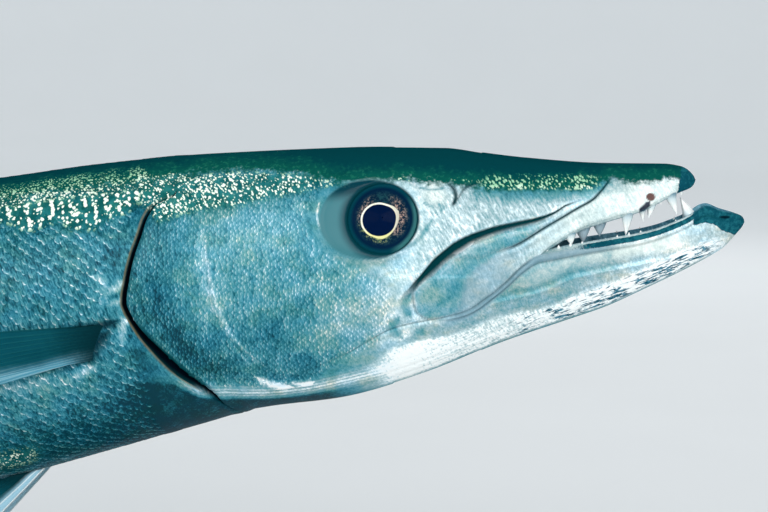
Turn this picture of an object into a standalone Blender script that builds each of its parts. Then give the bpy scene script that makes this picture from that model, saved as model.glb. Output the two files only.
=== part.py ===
"""Great barracuda, life size, as a still museum model held by a plain two-rod stand.

Metres, +Z up. The fish faces +X and its right flank faces -Y. Places along it are distances behind
the tip of the lower jaw, and heights are measured from that tip. The tables below give them in
millimetres. The origin is on the floor, under the middle of the whole model.
"""

import math

import bmesh
import bpy
import numpy as np
from mathutils import Matrix

MM = 0.001

# Driving sizes
STANDARD_LENGTH = 0.930          # lower jaw tip to the end of the tail stalk
TAIL_REACH = 0.172               # how far the tail fin's tips trail behind the stalk
TIP_HEIGHT = 0.264               # lower jaw tip above the floor
GAP = 0.0003                     # clearance between pieces that touch
TOTAL_LENGTH = STANDARD_LENGTH + TAIL_REACH
TIP_X = TOTAL_LENGTH / 2

# Lengthwise divisions
THROAT = 0.106                   # where the roof and the floor of the mouth meet
SNOUT_END = 0.118                # seam between the snout and the skull
JAW_END = 0.156                  # rear of the lower jaw
FOLD_STATIONS = (0.0885, 0.0925, 0.0965, 0.101, 0.106, 0.112)
SKULL_STATIONS = (0.124, 0.130, 0.136, 0.142, 0.149)
TORSO_CUTS = (0.385, 0.635, 0.840)
CHEEK_START = 0.195              # from here the head's rings lean towards the gill opening
SHOULDER_END = 0.292             # the shoulder's rings stand upright again from here
NECK_INSET = 0.0042              # how far the neck lies under the gill covers
NECK_CLEARANCE = 0.0012
ROWS = 17                        # points down one side of a trunk ring

# Colours and finishes of the pieces
FLANK = ((0.30, 0.47, 0.50, 1), 0.35, 0.4)
JAW = ((0.72, 0.80, 0.80, 1), 0.35, 0.4)
TOOTH = ((0.85, 0.84, 0.78, 1), 0.25, 0.0)
FIN = ((0.05, 0.14, 0.16, 1), 0.45, 0.0)
EYE = ((0.01, 0.02, 0.06, 1), 0.08, 0.0)
LID = ((0.14, 0.30, 0.32, 1), 0.30, 0.1)
STAND = ((0.03, 0.03, 0.035, 1), 0.35, 0.0)
STEEL = ((0.55, 0.56, 0.58, 1), 0.30, 1.0)


def curve(*pairs):
    """A smooth curve through (distance, value) pairs given in millimetres. It reads and returns metres."""
    x, y = (np.array(column, float) * MM for column in zip(*pairs))
    slope = np.diff(y) / np.diff(x)
    before, after = slope[:-1], slope[1:]
    same = before * after > 0
    bend = np.where(same, 2 * before * after / np.where(same, before + after, 1), 0)
    rate = np.concatenate([slope[:1], bend, slope[-1:]])

    def value(at):
        at = np.asarray(at, float)
        i = np.clip(np.searchsorted(x, at) - 1, 0, len(x) - 2)
        step = x[i + 1] - x[i]
        t = np.clip((at - x[i]) / step, 0, 1)
        keep, move = (1 + 2 * t) * (1 - t) ** 2, t * t * (3 - 2 * t)
        lead, trail = t * (1 - t) ** 2 * step, t * t * (t - 1) * step
        return y[i] * keep + y[i + 1] * move + rate[i] * lead + rate[i + 1] * trail

    return value


# Outline from the side
top_line = curve(
    (22, 19.3), (24, 20.6), (25.7, 22.0), (27.7, 23.3), (31, 24.6), (38, 25.5), (65, 25.7),
    (101, 28), (119, 29.9), (137, 32.2), (165, 32.4), (202, 31.2), (248, 29.0), (295, 24.6),
    (343, 17.9), (380, 13), (480, -1), (560, -13), (640, -28), (700, -40.5), (760, -54),
    (820, -67.5), (870, -78), (910, -85), (935, -86.5),
)
bottom_line = curve(
    (0, -1.4), (3, -3.6), (6, -6.6), (9.2, -10), (12.5, -12.9), (24, -19.8), (46, -31),
    (64, -39.5), (82, -46), (110, -56), (146, -71), (183, -82.5), (221, -88), (249, -96),
    (287, -107.5), (343, -123.5), (380, -132), (420, -139.5), (480, -146), (560, -151),
    (640, -152.5), (700, -151.5), (760, -149), (820, -146.5), (870, -145.5), (910, -147), (935, -150),
)
# Lips: the upper edge of the mouth, the lower edge, and the fold that both follow behind its corner
FOLD = ((93, -14.5), (100, -19), (109, -27.8), (115, -33), (126, -40), (135, -42.5), (156, -47),
        (180, -60), (205, -71), (225, -76), (280, -78))
open_lip = curve((22, 19), (24, 17.6), (31, 14.3), (38, 11.2), (47, 6.7), (64, 1.4), (74, -1.9),
                  (82, -6.2), (89, -10.9), *FOLD)
lower_lip = curve((0, 0.9), (4.5, 2.0), (13.4, 4.4), (19, 6.0), (21.4, 5.3), (27, 1.3),
                  (34, -1.9), (42, -4.9), (51, -7.1), (64, -9.3), (78, -11.7), (87, -13.4), *FOLD)


def upper_lip(distance):
    """Height of the upper lip. Behind the mouth's corner it lies on the lower one."""
    return np.maximum(open_lip(distance), lower_lip(distance))


# Height of the widest place. In front of the mouth's corner it is the lip.
LEVEL = ((119, -20), (137, -24), (165, -26), (202, -30), (250, -36), (285, -42), (343, -53),
         (380, -59.5), (480, -73.5), (640, -90), (820, -107), (935, -118))
upper_level = curve((22, 19), (31, 14.3), (47, 6.7), (64, 1.4), (82, -6.2), (93, -14.5), *LEVEL)
lower_level = curve((0, 1.0), (16, 6.6), (27, 1.3), (42, -4.9), (64, -9.3), (93, -14.5), *LEVEL)
# Half width, seen from above
half_breadth = curve(
    (0, 7), (10, 8.6), (25, 10.8), (50, 14.2), (75, 17.6), (100, 21.5), (128, 26.5), (165, 32),
    (200, 37), (240, 42.5), (285, 46), (340, 49), (400, 50), (480, 48), (560, 44), (640, 37.5),
    (720, 29), (800, 20.5), (860, 14.5), (900, 9.5), (935, 4.5),
)
# Squareness of a section above and below its widest level: 2 is an ellipse
upper_power = curve((22, 2100), (80, 2500), (165, 2700), (250, 2400), (400, 2150), (935, 2000))
lower_power = curve((0, 2000), (100, 1900), (165, 2000), (250, 2100), (400, 2200), (935, 2000))
# Gill opening and the cheek's rear ridge, as distances that depend on the height
gill_shoulder = curve(
    (-90, 229), (-83.4, 236.3), (-79.4, 240.8), (-75.7, 244.6), (-69.7, 252.7), (-63.9, 258.8),
    (-56.5, 264.9), (-51, 269.1), (-44.3, 273.3), (-39.4, 275.9), (-35.4, 277.2), (-23, 275.5),
    (-14.2, 273.5), (-5.5, 270.7), (1.9, 268.6), (6.7, 265.9), (9.7, 261.7), (11.5, 257.3), (21, 251),
    (34, 247),
)
gill_slit = curve((-90, 0.6), (-84, 0.9), (-78, 4.6), (-70, 6.0), (-64, 6.2), (-54, 5.2),
                  (-44.5, 3.4), (-14, 3.4), (0, 3.8), (7, 4.6), (11.5, 4.6), (15, 1.4), (24, 0.8),
                  (34, 0.7))
cheek_ridge = curve((-80, 196), (-64.4, 213), (-52.7, 226.4), (-38.4, 234), (-20, 236.7),
                    (-3, 238), (12, 240), (34, 238))

# The bone plate behind the corner of the mouth
PLATE_FRONT, PLATE_REAR = 0.062, 0.147
MAXILLA_DEPTH = -0.0022
POCKET_REACH = 0.0012            # how far a pocket's cutter stands over the skin
plate_top = curve((62, 19.0), (70, 13.6), (76, 9.8), (82, 6.8), (91, 1.8), (100, -0.9), (109, -2.9),
                  (117.5, -5), (126, -8), (131, -11.2), (136, -17.4), (140, -22.3), (144, -27),
                  (147, -34))
plate_bottom = curve((62, 17.6), (66.7, 11.8), (76, 5.9), (89, -1.6), (104, -10.9), (113, -15.5),
                     (121, -24), (127, -33), (133, -39), (141.6, -41.3), (145.5, -39), (147, -36.5))

# Eye
EYE_DISTANCE, EYE_HEIGHT = 0.1625, 0.0018
EYE_RADIUS, EYE_BULGE, EYE_DEPTH = 0.0152, 0.0036, 0.0060
EYE_SPAN, EYE_STANDS_OUT = 0.014, 0.0012   # how far round it its flat is fitted, and how far that stands out
LID_LONG, LID_HIGH = 0.0212, 0.0174
LID_PROUD, LID_DEPTH = 0.0005, 0.0024
NOSTRILS = ((0.1275, 0.0125, 0.0016, 0.0034), (0.1335, 0.0165, 0.0012, 0.0012))

# Lips
LIP_HEIGHT, LIP_BULGE = 0.0034, 0.0007

# Upper teeth on each side: distance, length, width, how far the point leans forward, inset from the lip
UPPER_TEETH = (
    (31, 2.2, 2.2, 0.4, 1.8), (35.6, 9.2, 5.4, 3.2, 2.2), (40, 2.6, 2.2, 0.4, 1.8),
    (43.5, 7.0, 3.8, -1.6, 2.2), (48, 6.8, 3.6, 0.6, 4.4), (54.5, 10.6, 5.6, -0.6, 2.4),
    (61, 2.0, 1.8, 0, 1.9), (65.5, 2.0, 1.8, 0, 1.9), (70, 1.9, 1.8, 0, 1.9),
    (80, 5.6, 4.4, 0.8, 2.4), (74.5, 8.0, 5.0, 0.4, 6.2), (67.5, 8.2, 5.0, 0.3, 6.2),
)
LOWER_FANG = (26.2, 8.4, 6.2, -4.6, 3.0)
LOWER_TEETH_FROM, LOWER_TEETH_TO, LOWER_TEETH_COUNT = 0.033, 0.090, 12
LOWER_TOOTH_LENGTH, LOWER_TOOTH_WIDTH, LOWER_TOOTH_INSET = 0.0019, 0.0022, 0.0016
TOOTH_ROOT = 0.0022
BIG_TOOTH = 0.004                # a tooth longer than this has more sides

# Fins
FIN_FLESH_REACH = 0.22           # share of a ray that the flesh at its base covers
FIN_LIFT = 1.3 * GAP             # a fin's base above the back, or below the belly

# Stand
BASE_LENGTH, BASE_WIDTH, BASE_THICKNESS = 0.390, 0.190, 0.016
BASE_MIDDLE = 0.470              # distance of the base's middle behind the jaw tip
BASE_CORNER, BASE_EDGE = 0.018, 0.003
ROD_RADIUS = 0.006
FLANGE_RADIUS, FLANGE_HEIGHT = 0.015, 0.004
ROD_PLACES = (("stand_rod_front", 0.400), ("stand_rod_rear", 0.560))


def place(distance, across, height):
    """Points in the model's frame. across is towards the fish's left."""
    return np.stack(np.broadcast_arrays(TIP_X - distance, across, TIP_HEIGHT + height), axis=-1)


def material(name, look):
    """A plain Principled material."""
    found = bpy.data.materials.get(name)
    if found:
        return found
    made = bpy.data.materials.new(name)
    made.use_nodes = True
    shader = made.node_tree.nodes["Principled BSDF"]
    colour, roughness, metallic = look
    shader.inputs["Base Color"].default_value = colour
    shader.inputs["Roughness"].default_value = roughness
    shader.inputs["Metallic"].default_value = metallic
    return made


def solid(name, points, triangles, look):
    """One object from points and triangles, its faces turned outwards."""
    mesh = bpy.data.meshes.new(name)
    mesh.from_pydata([tuple(p) for p in points], [], [tuple(t) for t in triangles])
    shape = bmesh.new()
    shape.from_mesh(mesh)
    bmesh.ops.remove_doubles(shape, verts=shape.verts, dist=1e-7)
    bmesh.ops.triangulate(shape, faces=shape.faces)
    bmesh.ops.recalc_face_normals(shape, faces=shape.faces)
    if shape.calc_volume(signed=True) < 0:
        bmesh.ops.reverse_faces(shape, faces=shape.faces)
    shape.to_mesh(mesh)
    shape.free()
    mesh.shade_smooth()
    mesh.set_sharp_from_angle(angle=math.radians(40))
    mesh.materials.append(material(look[0], look[1]))
    made = bpy.data.objects.new(name, mesh)
    bpy.context.scene.collection.objects.link(made)
    return made


def quads(count_a, count_b, index, closed_b=False):
    """Triangles of a grid. index(i, j) gives a point's number."""
    found = []
    for i in range(count_a - 1):
        for j in range(count_b if closed_b else count_b - 1):
            k = (j + 1) % count_b
            a, b, c, d = index(i, j), index(i + 1, j), index(i + 1, k), index(i, k)
            found += [(a, b, c), (a, c, d)]
    return found


def keep_largest(obj):
    """Leaves an object only its largest closed surface."""
    shape = bmesh.new()
    shape.from_mesh(obj.data)
    left, islands = set(shape.verts), []
    while left:
        island, edge = set(), [left.pop()]
        while edge:
            at = edge.pop()
            island.add(at)
            for link in at.link_edges:
                other = link.other_vert(at)
                if other in left:
                    left.discard(other)
                    edge.append(other)
        islands.append(island)
    islands.sort(key=len)
    for island in islands[:-1]:
        bmesh.ops.delete(shape, geom=list(island), context="VERTS")
    shape.to_mesh(obj.data)
    shape.free()


def combine(obj, tools, operation):
    """Joins tools to obj, or cuts them from it, with one Boolean that is applied. The tools are removed."""
    group = bpy.data.collections.new("tools")
    bpy.context.scene.collection.children.link(group)
    for tool in tools:
        bpy.context.scene.collection.objects.unlink(tool)
        group.objects.link(tool)
    step = obj.modifiers.new("join", "BOOLEAN")
    step.operation = operation
    step.operand_type = "COLLECTION"
    step.collection = group
    step.solver = "EXACT"
    bpy.context.view_layer.update()
    graph = bpy.context.evaluated_depsgraph_get()
    made = bpy.data.meshes.new_from_object(obj.evaluated_get(graph))
    obj.modifiers.clear()
    obj.data = made
    for tool in tools:
        bpy.data.objects.remove(tool)
    bpy.data.collections.remove(group)
    keep_largest(obj)
    made.shade_smooth()
    made.set_sharp_from_angle(angle=math.radians(40))


# The skin's surface

def snout_round(distance, tip, reach):
    """How a jaw's width grows behind its tip, along a quarter ellipse."""
    t = np.clip((np.asarray(distance) - tip) / reach, 0.02, 1)
    return np.sqrt(1 - (1 - t) ** 2)


def upper_breadth(distance):
    return half_breadth(distance) * snout_round(distance, 0.0215, 0.022)


def lower_breadth(distance):
    return half_breadth(distance) * snout_round(distance, -0.0004, 0.016)


def side_reach(distance, height, part="upper"):
    """Half width of the fish at a height."""
    lower = part == "lower"
    level = (lower_level if lower else upper_level)(distance)
    breadth = (lower_breadth if lower else upper_breadth)(distance)
    above = height >= level
    span = np.where(above, top_line(distance) - level, level - bottom_line(distance))
    power = np.where(above, upper_power(distance), lower_power(distance))
    share = np.clip(np.abs(height - level) / span, 0, 0.9999)
    return breadth * (1 - share ** power) ** (1 / power)


def angle_at(distance, height, part="upper"):
    """The turn round a section, from 0 at the back to pi at the belly, that reaches a height."""
    level = (lower_level if part == "lower" else upper_level)(distance)
    above = height >= level
    span = np.where(above, top_line(distance) - level, level - bottom_line(distance))
    power = np.where(above, upper_power(distance), lower_power(distance))
    share = np.clip(np.abs(height - level) / span, 0, 1) ** (power / 2)
    return np.where(above, np.arccos(share), math.pi - np.arccos(share))


def section_point(distance, angle, part="upper"):
    """(half width, height) of a section at a turn from 0 at the back to pi at the belly."""
    lower = part == "lower"
    level = (lower_level if lower else upper_level)(distance)
    breadth = (lower_breadth if lower else upper_breadth)(distance)
    above = np.asarray(angle) <= math.pi / 2
    span = np.where(above, top_line(distance) - level, bottom_line(distance) - level)
    power = np.where(above, upper_power(distance), lower_power(distance))
    across = breadth * np.clip(np.sin(angle), 0, 1) ** (2 / power)
    return across, level + span * np.abs(np.cos(angle)) ** (2 / power)


def skin_point(distance, height, side, offset=0.0, part="upper"):
    """A point on the flank at a distance and height, moved out by offset. side is -1 for the right."""
    step = 0.0005
    reach = side_reach(distance, height, part)
    along = (side_reach(distance + step, height, part) - reach) / step
    upward = (side_reach(distance, height + step, part) - reach) / step
    upward = np.clip(upward, -2.5, 2.5)
    size = np.sqrt(1 + along ** 2 + upward ** 2)
    return place(
        distance - offset * along / size,
        side * (reach + offset / size),
        height - offset * upward / size,
    )


# Lofted bodies

def loft(name, half_rings, look, ruled=(False, False)):
    """A closed body through rings. Each half ring runs down the right side from the back to the keel."""
    half = np.array(half_rings)
    mirrored = half[:, -2:0:-1] * np.array([1, -1, 1])
    rings = np.concatenate([half, mirrored], axis=1)
    count, around = rings.shape[:2]
    faces = quads(count, around, lambda i, j: i * around + j, closed_b=True)
    rows = half.shape[1]
    for ring, strips in zip((0, count - 1), ruled):
        base = ring * around
        if not strips:
            faces.append(tuple(base + j for j in range(around)))
            continue
        for j in range(rows - 1):
            right, left = base + j, base + (around - j) % around
            right_next, left_next = base + j + 1, base + around - j - 1
            if j == 0:
                faces.append((right, right_next, left_next))
            elif j == rows - 2:
                faces.append((right, right_next, left))
            else:
                faces.append((right, right_next, left_next, left))
    return solid(name, rings.reshape(-1, 3), faces, look)


def half_ring(distance, angles, part="upper"):
    """Points of a section from the back down the right side."""
    across, height = section_point(distance, np.asarray(angles), part)
    return place(distance, -across, height)


def trunk(name, start, end, rings, rows, look):
    """A length of the trunk between two plain cuts."""
    angles = np.linspace(0, math.pi, rows)
    places = np.linspace(start + GAP / 2, end - GAP / 2, rings)
    return loft(name, [half_ring(a, angles) for a in places], look)


def leaning_ring(front, lean, angles):
    """A ring whose points lie at a distance, lean(height), that depends on their height."""
    distance = np.full(len(angles), front)
    for _ in range(30):
        across, height = section_point(distance, angles)
        distance = 0.5 * distance + 0.5 * lean(height)
    return distance, across, height


def mouth_roof(distance):
    """How far the middle of the palate rises above the lip."""
    open_share = np.clip((THROAT - distance) / 0.020, 0, 1)
    tip_share = np.clip((distance - 0.024) / 0.016, 0, 1)
    return 0.001 * (1 - open_share) + (0.0002 + 0.0076 * tip_share) * open_share


def mouth_floor(distance):
    """How far the middle of the mouth's floor rises above the lower lip, or lies below it."""
    open_share = np.clip((THROAT - distance) / 0.020, 0, 1)
    tip_share = np.clip((distance - 0.006) / 0.020, 0, 1)
    return 0.001 * (1 - open_share) - (0.0006 + 0.0084 * tip_share) * open_share


RIM_SHARES = (0.88, 0.76, 0.60, 0.34, 0.0)   # places across the mouth's inner face, as shares of the lip's
RIM_DEPTHS = (0.04, 0.16, 0.74, 0.94, 1.0)   # how much of the palate's rise each has


def inner_mouth(distance, lip, reach, rise):
    """The mouth's inner face from the lip to the middle."""
    return [place(distance, -reach * share, lip + rise * depth)
            for share, depth in zip(RIM_SHARES, RIM_DEPTHS)]


def lip_roll(distance, tip):
    """How far a lip stands out. It fades at the jaw's tip and at the corner of the mouth."""
    return LIP_BULGE * np.clip((distance - tip) / 0.012, 0.2, 1) * np.clip((0.098 - distance) / 0.012, 0, 1)


def upper_ring(distance, rows):
    """Half ring of the snout or of the skull over the mouth, with a rolled lip."""
    lip = upper_lip(distance) + GAP / 2
    span = min(LIP_HEIGHT, 0.5 * (top_line(distance) - lip))
    lip_angle, crease, roll = (
        float(angle_at(distance, lip + share * span)) for share in (0.0, 1.0, 0.45))
    ring = half_ring(distance, np.append(np.linspace(0, crease, rows - 2), (roll, lip_angle)))
    bulge = lip_roll(distance, 0.020)
    ring[-2:, 1] -= bulge * np.array([1.0, 0.6])
    ring[-3, 1] += 0.35 * bulge
    inner = inner_mouth(distance, lip, side_reach(distance, lip), mouth_roof(distance))
    return np.concatenate([ring, inner])


def lower_ring(distance, rows):
    """Half ring of the lower jaw, with a rolled lip."""
    lip = lower_lip(distance) - GAP / 2
    span = min(LIP_HEIGHT, 0.4 * (lip - bottom_line(distance)))
    lip_angle, crease, roll = (
        float(angle_at(distance, lip - share * span, "lower")) for share in (0.0, 1.0, 0.45))
    ring = half_ring(distance, np.append((lip_angle, roll), np.linspace(crease, math.pi, rows - 2)), "lower")
    bulge = lip_roll(distance, -0.002)
    ring[:2, 1] -= bulge * np.array([0.6, 1.0])
    ring[2, 1] += 0.35 * bulge
    inner = inner_mouth(distance, lip, side_reach(distance, lip, "lower"), mouth_floor(distance))
    return np.concatenate([inner[::-1], ring])


def tooth(name, side, distance, length, width, lean, inset, jaw):
    """A flattened, pointed tooth whose root is sunk in its jaw. Sizes are in metres."""
    upper = jaw == "upper"
    lip = (upper_lip if upper else lower_lip)(distance)
    reach = side_reach(distance, lip, jaw) - inset
    down = -1 if upper else 1
    sides, levels = (5, (0, 0.5)) if length > BIG_TOOTH else (3, (0,))
    points = []
    for level in (-1, *levels):
        along = -TOOTH_ROOT if level < 0 else level * length
        share = 1 if level < 0 else 1 - level ** 1.35
        shift = 0 if level < 0 else lean * level
        for k in range(sides):
            turn = 2 * math.pi * k / sides
            points.append(place(
                distance - shift + 0.5 * width * share * math.cos(turn),
                side * (reach + 0.32 * width * share * math.sin(turn)),
                lip + down * along,
            ))
    points.append(place(distance - lean, side * (reach - 0.08 * length), lip + down * length))
    rings = len(levels) + 1
    faces = quads(rings, sides, lambda i, j: i * sides + j, closed_b=True)
    last = rings * sides
    for k in range(sides):
        faces.append((last - sides + k, last - sides + (k + 1) % sides, last))
    faces.append(tuple(range(sides)))
    return solid(name, points, faces, ("tooth", TOOTH))


# Plates laid into the flanks

def plate(name, side, grid, inner, outer, look):
    """A closed plate over a grid of distances and heights, between two offsets from the skin."""
    distance, height = grid
    outside = skin_point(distance, height, side, np.broadcast_to(outer, distance.shape))
    inside = skin_point(distance, height, side, np.broadcast_to(inner, distance.shape))
    return shell(name, outside, inside, look)


def gill_cover_grid():
    """Distances and heights over one gill cover."""
    rows, columns = 11, 7
    height = np.linspace(0.0105, -0.0745, rows)[:, None] * np.ones(columns)
    front = cheek_ridge(height)
    rear = gill_shoulder(height) - gill_slit(height)
    share = np.linspace(0, 1, columns)[None, :]
    return front + (rear - front) * share, height


def maxilla_grid():
    """Distances and heights over the bone plate behind the corner of the mouth."""
    rows, columns = 15, 4
    distance = np.linspace(PLATE_FRONT, PLATE_REAR, rows)[:, None] * np.ones(columns)
    upper, lower = plate_top(distance), plate_bottom(distance)
    share = np.linspace(0, 1, columns)[None, :]
    return distance, upper + (lower - upper) * share


def pocket(side, grid, inner, last_column=GAP):
    """A cutter for a plate's pocket: the plate's grid with a border, a gap deeper than the plate."""
    def widen(values):
        return np.pad(values, 1, mode="edge")

    distance, height = grid
    wide_distance, wide_height = widen(distance), widen(height)
    for first, last, axis in ((0, -1, 0), (0, -1, 1)):
        for end, inside, reach in ((first, 1, GAP), (last, -2, GAP if axis == 0 else last_column)):
            at = [slice(None), slice(None)]
            near, far = at.copy(), at.copy()
            at[axis], near[axis] = end, inside
            far[axis] = inside + (1 if inside > 0 else -1)
            run = wide_distance[tuple(near)] - wide_distance[tuple(far)]
            rise = wide_height[tuple(near)] - wide_height[tuple(far)]
            size = np.maximum(np.hypot(run, rise), 1e-9)
            wide_distance[tuple(at)] = wide_distance[tuple(near)] + reach * run / size
            wide_height[tuple(at)] = wide_height[tuple(near)] + reach * rise / size
    depth = widen(np.broadcast_to(inner, distance.shape)) - GAP
    return plate("cut", side, (wide_distance, wide_height), depth, POCKET_REACH, ("flank", FLANK))


def disc(name, side, radii, long, high, inner, outer, look, hole=None, segments=24):
    """A round plate over the eye, or a ring where hole gives the (long, high) of its opening."""
    turns = np.arange(segments) * 2 * math.pi / segments
    points = []
    for offset, shares in ((outer, radii), (inner, (1.0, 0.0) if hole else (1.0,))):
        for share in shares:
            reach_long, reach_high = long * share, high * share
            if hole:
                reach_long = hole[0] + (long - hole[0]) * share
                reach_high = hole[1] + (high - hole[1]) * share
            distance = EYE_DISTANCE + reach_long * np.cos(turns)
            height = EYE_HEIGHT + reach_high * np.sin(turns)
            depth = offset(share) if callable(offset) else offset
            points.append(eye_plane(distance, height, side, depth))
    rings = len(points)
    points = np.concatenate(points)
    faces = quads(rings, segments, lambda i, j: i * segments + j, closed_b=True)
    if hole:
        last = (rings - 1) * segments
        for j in range(segments):
            k = (j + 1) % segments
            faces += [(last + j, j, k), (last + j, k, last + k)]
    else:
        faces.append(tuple(range(segments)))
        faces.append(tuple((rings - 1) * segments + j for j in range(segments)))
    return solid(name, points, faces, look)


def eye_plane(distance, height, side, offset):
    """A point of the flat that touches the flank round the eye, moved out by offset."""
    above, below = (side_reach(EYE_DISTANCE, EYE_HEIGHT + step) for step in (EYE_SPAN, -EYE_SPAN))
    behind, before = (side_reach(EYE_DISTANCE + step, EYE_HEIGHT) for step in (EYE_SPAN, -EYE_SPAN))
    rise, run = (above - below) / (2 * EYE_SPAN), (behind - before) / (2 * EYE_SPAN)
    reach = (0.5 * (above + below) + EYE_STANDS_OUT
             + run * (distance - EYE_DISTANCE) + rise * (height - EYE_HEIGHT))
    size = math.sqrt(1 + run ** 2 + rise ** 2)
    return place(
        distance - offset * run / size, side * (reach + offset / size), height - offset * rise / size
    )


# Fins

def fin(name, root, tip, rays, rows, spread, thickness, look, bow=0.0, stout=(), notch=0.06):
    """A thin fin with a ridge along each ray.

    root(share) and tip(share) give points along its base and its free edge. spread is the direction of its
    thickness, which is (flesh at the base, ray at the base, ray at the tip, membrane). bow bends the rays
    back, stout lists rays that are thicker, such as spines, and notch is how far the membrane stops short
    of the rays' tips.
    """
    columns = 2 * (rays - 1) + 1
    flesh, ray_root, ray_tip, membrane = thickness
    sides = []
    for sign in (1, -1):
        grid = np.zeros((columns, rows, 3))
        for c, share in enumerate(np.linspace(0, 1, columns)):
            is_ray = c % 2 == 0
            for r, out in enumerate(np.linspace(0, 1, rows)):
                reach = out if is_ray else out * (1 - notch)
                at = root(share) * (1 - reach) + tip(share) * reach
                at[0] += bow * 4 * reach * (1 - reach)
                base = flesh * max(0.0, 1 - reach / FIN_FLESH_REACH) ** 2
                ridge = (ray_root + (ray_tip - ray_root) * reach) * (1.6 if c // 2 in stout else 1.0)
                full = max(base, ridge if is_ray else membrane)
                grid[c, r] = at + sign * 0.5 * full * spread
        sides.append(grid)
    return shell(name, sides[0], sides[1], look)


def shell(name, front, back, look):
    """A closed body between two grids of points of the same shape, split into triangles alike."""
    rows, columns = front.shape[:2]
    count = rows * columns
    points = np.concatenate([front.reshape(-1, 3), back.reshape(-1, 3)])
    faces = quads(rows, columns, lambda i, j: i * columns + j)
    faces += [(c + count, b + count, a + count) for a, b, c in faces]
    rim = [(0, j) for j in range(columns)] + [(i, columns - 1) for i in range(1, rows)]
    rim += [(rows - 1, j) for j in range(columns - 2, -1, -1)] + [(i, 0) for i in range(rows - 2, 0, -1)]
    numbers = [i * columns + j for i, j in rim]
    for a, b in zip(numbers, numbers[1:] + numbers[:1]):
        faces += [(a, b, b + count), (a, b + count, a + count)]
    return solid(name, points, faces, look)


def blade(points):
    """A smooth curve through (share, distance, height) points in millimetres, on the middle plane."""
    shares = [1000 * p[0] for p in points]
    distance = curve(*zip(shares, [p[1] for p in points]))
    height = curve(*zip(shares, [p[2] for p in points]))
    return lambda share: place(distance(share), 0.0, height(share))


def ridge_root(start, end, line, lift):
    """A fin's base along the back or the keel, held off it by lift."""
    def root(share):
        distance = start + (end - start) * share
        return place(distance, 0.0, line(distance) + lift)
    return root


def make_head():
    """Snout, skull, lower jaw, bone plates, gill covers and eyes."""
    flank, jaw_look = ("flank", FLANK), ("jaw", JAW)
    rows = 12
    jaw_rows = 9
    snout_stations = (0.0222, 0.0235, 0.026, 0.030, 0.035, 0.041, 0.048, 0.056, 0.065, 0.074,
                      0.082, *FOLD_STATIONS, SNOUT_END - GAP / 2)
    snout = loft("upper_jaw", [upper_ring(a, rows) for a in snout_stations], jaw_look)
    jaw_stations = (0.0003, 0.0015, 0.004, 0.008, 0.013, 0.018, 0.022, 0.027, 0.034, 0.042, 0.052,
                    0.064, 0.074, 0.082, *FOLD_STATIONS, SNOUT_END - GAP / 2, SNOUT_END + GAP / 2,
                    *SKULL_STATIONS, JAW_END - GAP)
    lower = loft("lower_jaw", [lower_ring(a, jaw_rows) for a in jaw_stations], jaw_look)

    # Skull: rings over the jaw, then whole rings, then rings that lean to follow the gill opening
    rings = [upper_ring(a, rows) for a in (SNOUT_END + GAP / 2, *SKULL_STATIONS, JAW_END - GAP)]
    under = len(RIM_SHARES)

    def whole_angles(distance):
        fold = float(angle_at(distance, upper_lip(distance)))
        return np.concatenate([np.linspace(0, fold, rows), np.linspace(fold, math.pi, under + 1)[1:]])

    for a in (JAW_END, 0.164, 0.173, 0.184, CHEEK_START):
        rings.append(half_ring(a, whole_angles(a)))
    first, last = whole_angles(CHEEK_START), np.linspace(0, math.pi, ROWS)

    def cheek(height):
        return CHEEK_START + share * (cheek_ridge(height) - CHEEK_START)

    def cover(height):
        return cheek_ridge(height) + share * (gill_shoulder(height) - gill_slit(height) - cheek_ridge(height))

    for lean, shares, blend in ((cheek, (0.34, 0.67, 1.0), 0.0), (cover, (0.25, 0.5, 0.75, 1.0), 1.0)):
        for share in shares:
            mix = share * blend
            distance, reach, height = leaning_ring(0.25, lean, first * (1 - mix) + last * mix)
            rings.append(place(distance, -reach, height))
    skull = loft("head", rings, flank, ruled=(False, True))

    skull_cutters, snout_cutters = [], []
    for side, word in ((-1, "right"), (1, "left")):
        distance, _ = gill_cover_grid()
        depth = -0.0034 + 0.0020 * np.linspace(0, 1, distance.shape[1])[None, :] ** 2
        plate(f"gill_cover_{word}", side, gill_cover_grid(), depth, 0.0004, flank)
        skull_cutters.append(pocket(side, gill_cover_grid(), depth, 0.004))
        plate(f"maxilla_{word}", side, maxilla_grid(), MAXILLA_DEPTH, 0.0004, jaw_look)
        for cutters in (skull_cutters, snout_cutters):
            cutters.append(pocket(side, maxilla_grid(), MAXILLA_DEPTH))

        def bulge(share):
            return EYE_BULGE * math.sqrt(max(0.0, 1 - share ** 2)) - 0.0008 * share

        disc(f"eye_{word}", side, (0.16, 0.45, 0.75, 1.0), EYE_RADIUS, EYE_RADIUS, -EYE_DEPTH, bulge,
             ("eye", EYE))
        opening = (EYE_RADIUS + GAP, EYE_RADIUS + GAP)
        disc(f"eyelid_{word}", side, (0.0, 0.5, 1.0), LID_LONG, LID_HIGH, -LID_DEPTH,
             lambda share: LID_PROUD - 0.0009 * share, ("lid", LID), hole=opening)
        skull_cutters.append(disc("cut", side, (0.3, 1.0), LID_LONG + GAP, LID_HIGH + GAP,
                                  -LID_DEPTH - GAP, 0.012, flank))
        skull_cutters.append(disc("cut", side, (0.3, 1.0), EYE_RADIUS + GAP, EYE_RADIUS + GAP,
                                  -EYE_DEPTH - GAP, 0.010, flank))
        for distance, height, half_long, half_high in NOSTRILS:
            skull_cutters.append(nostril_cutter(side, distance, height, half_long, half_high))
    combine(skull, skull_cutters, "DIFFERENCE")
    combine(snout, snout_cutters, "DIFFERENCE")
    combine(snout, upper_teeth(), "UNION")
    combine(lower, lower_teeth(), "UNION")


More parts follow.
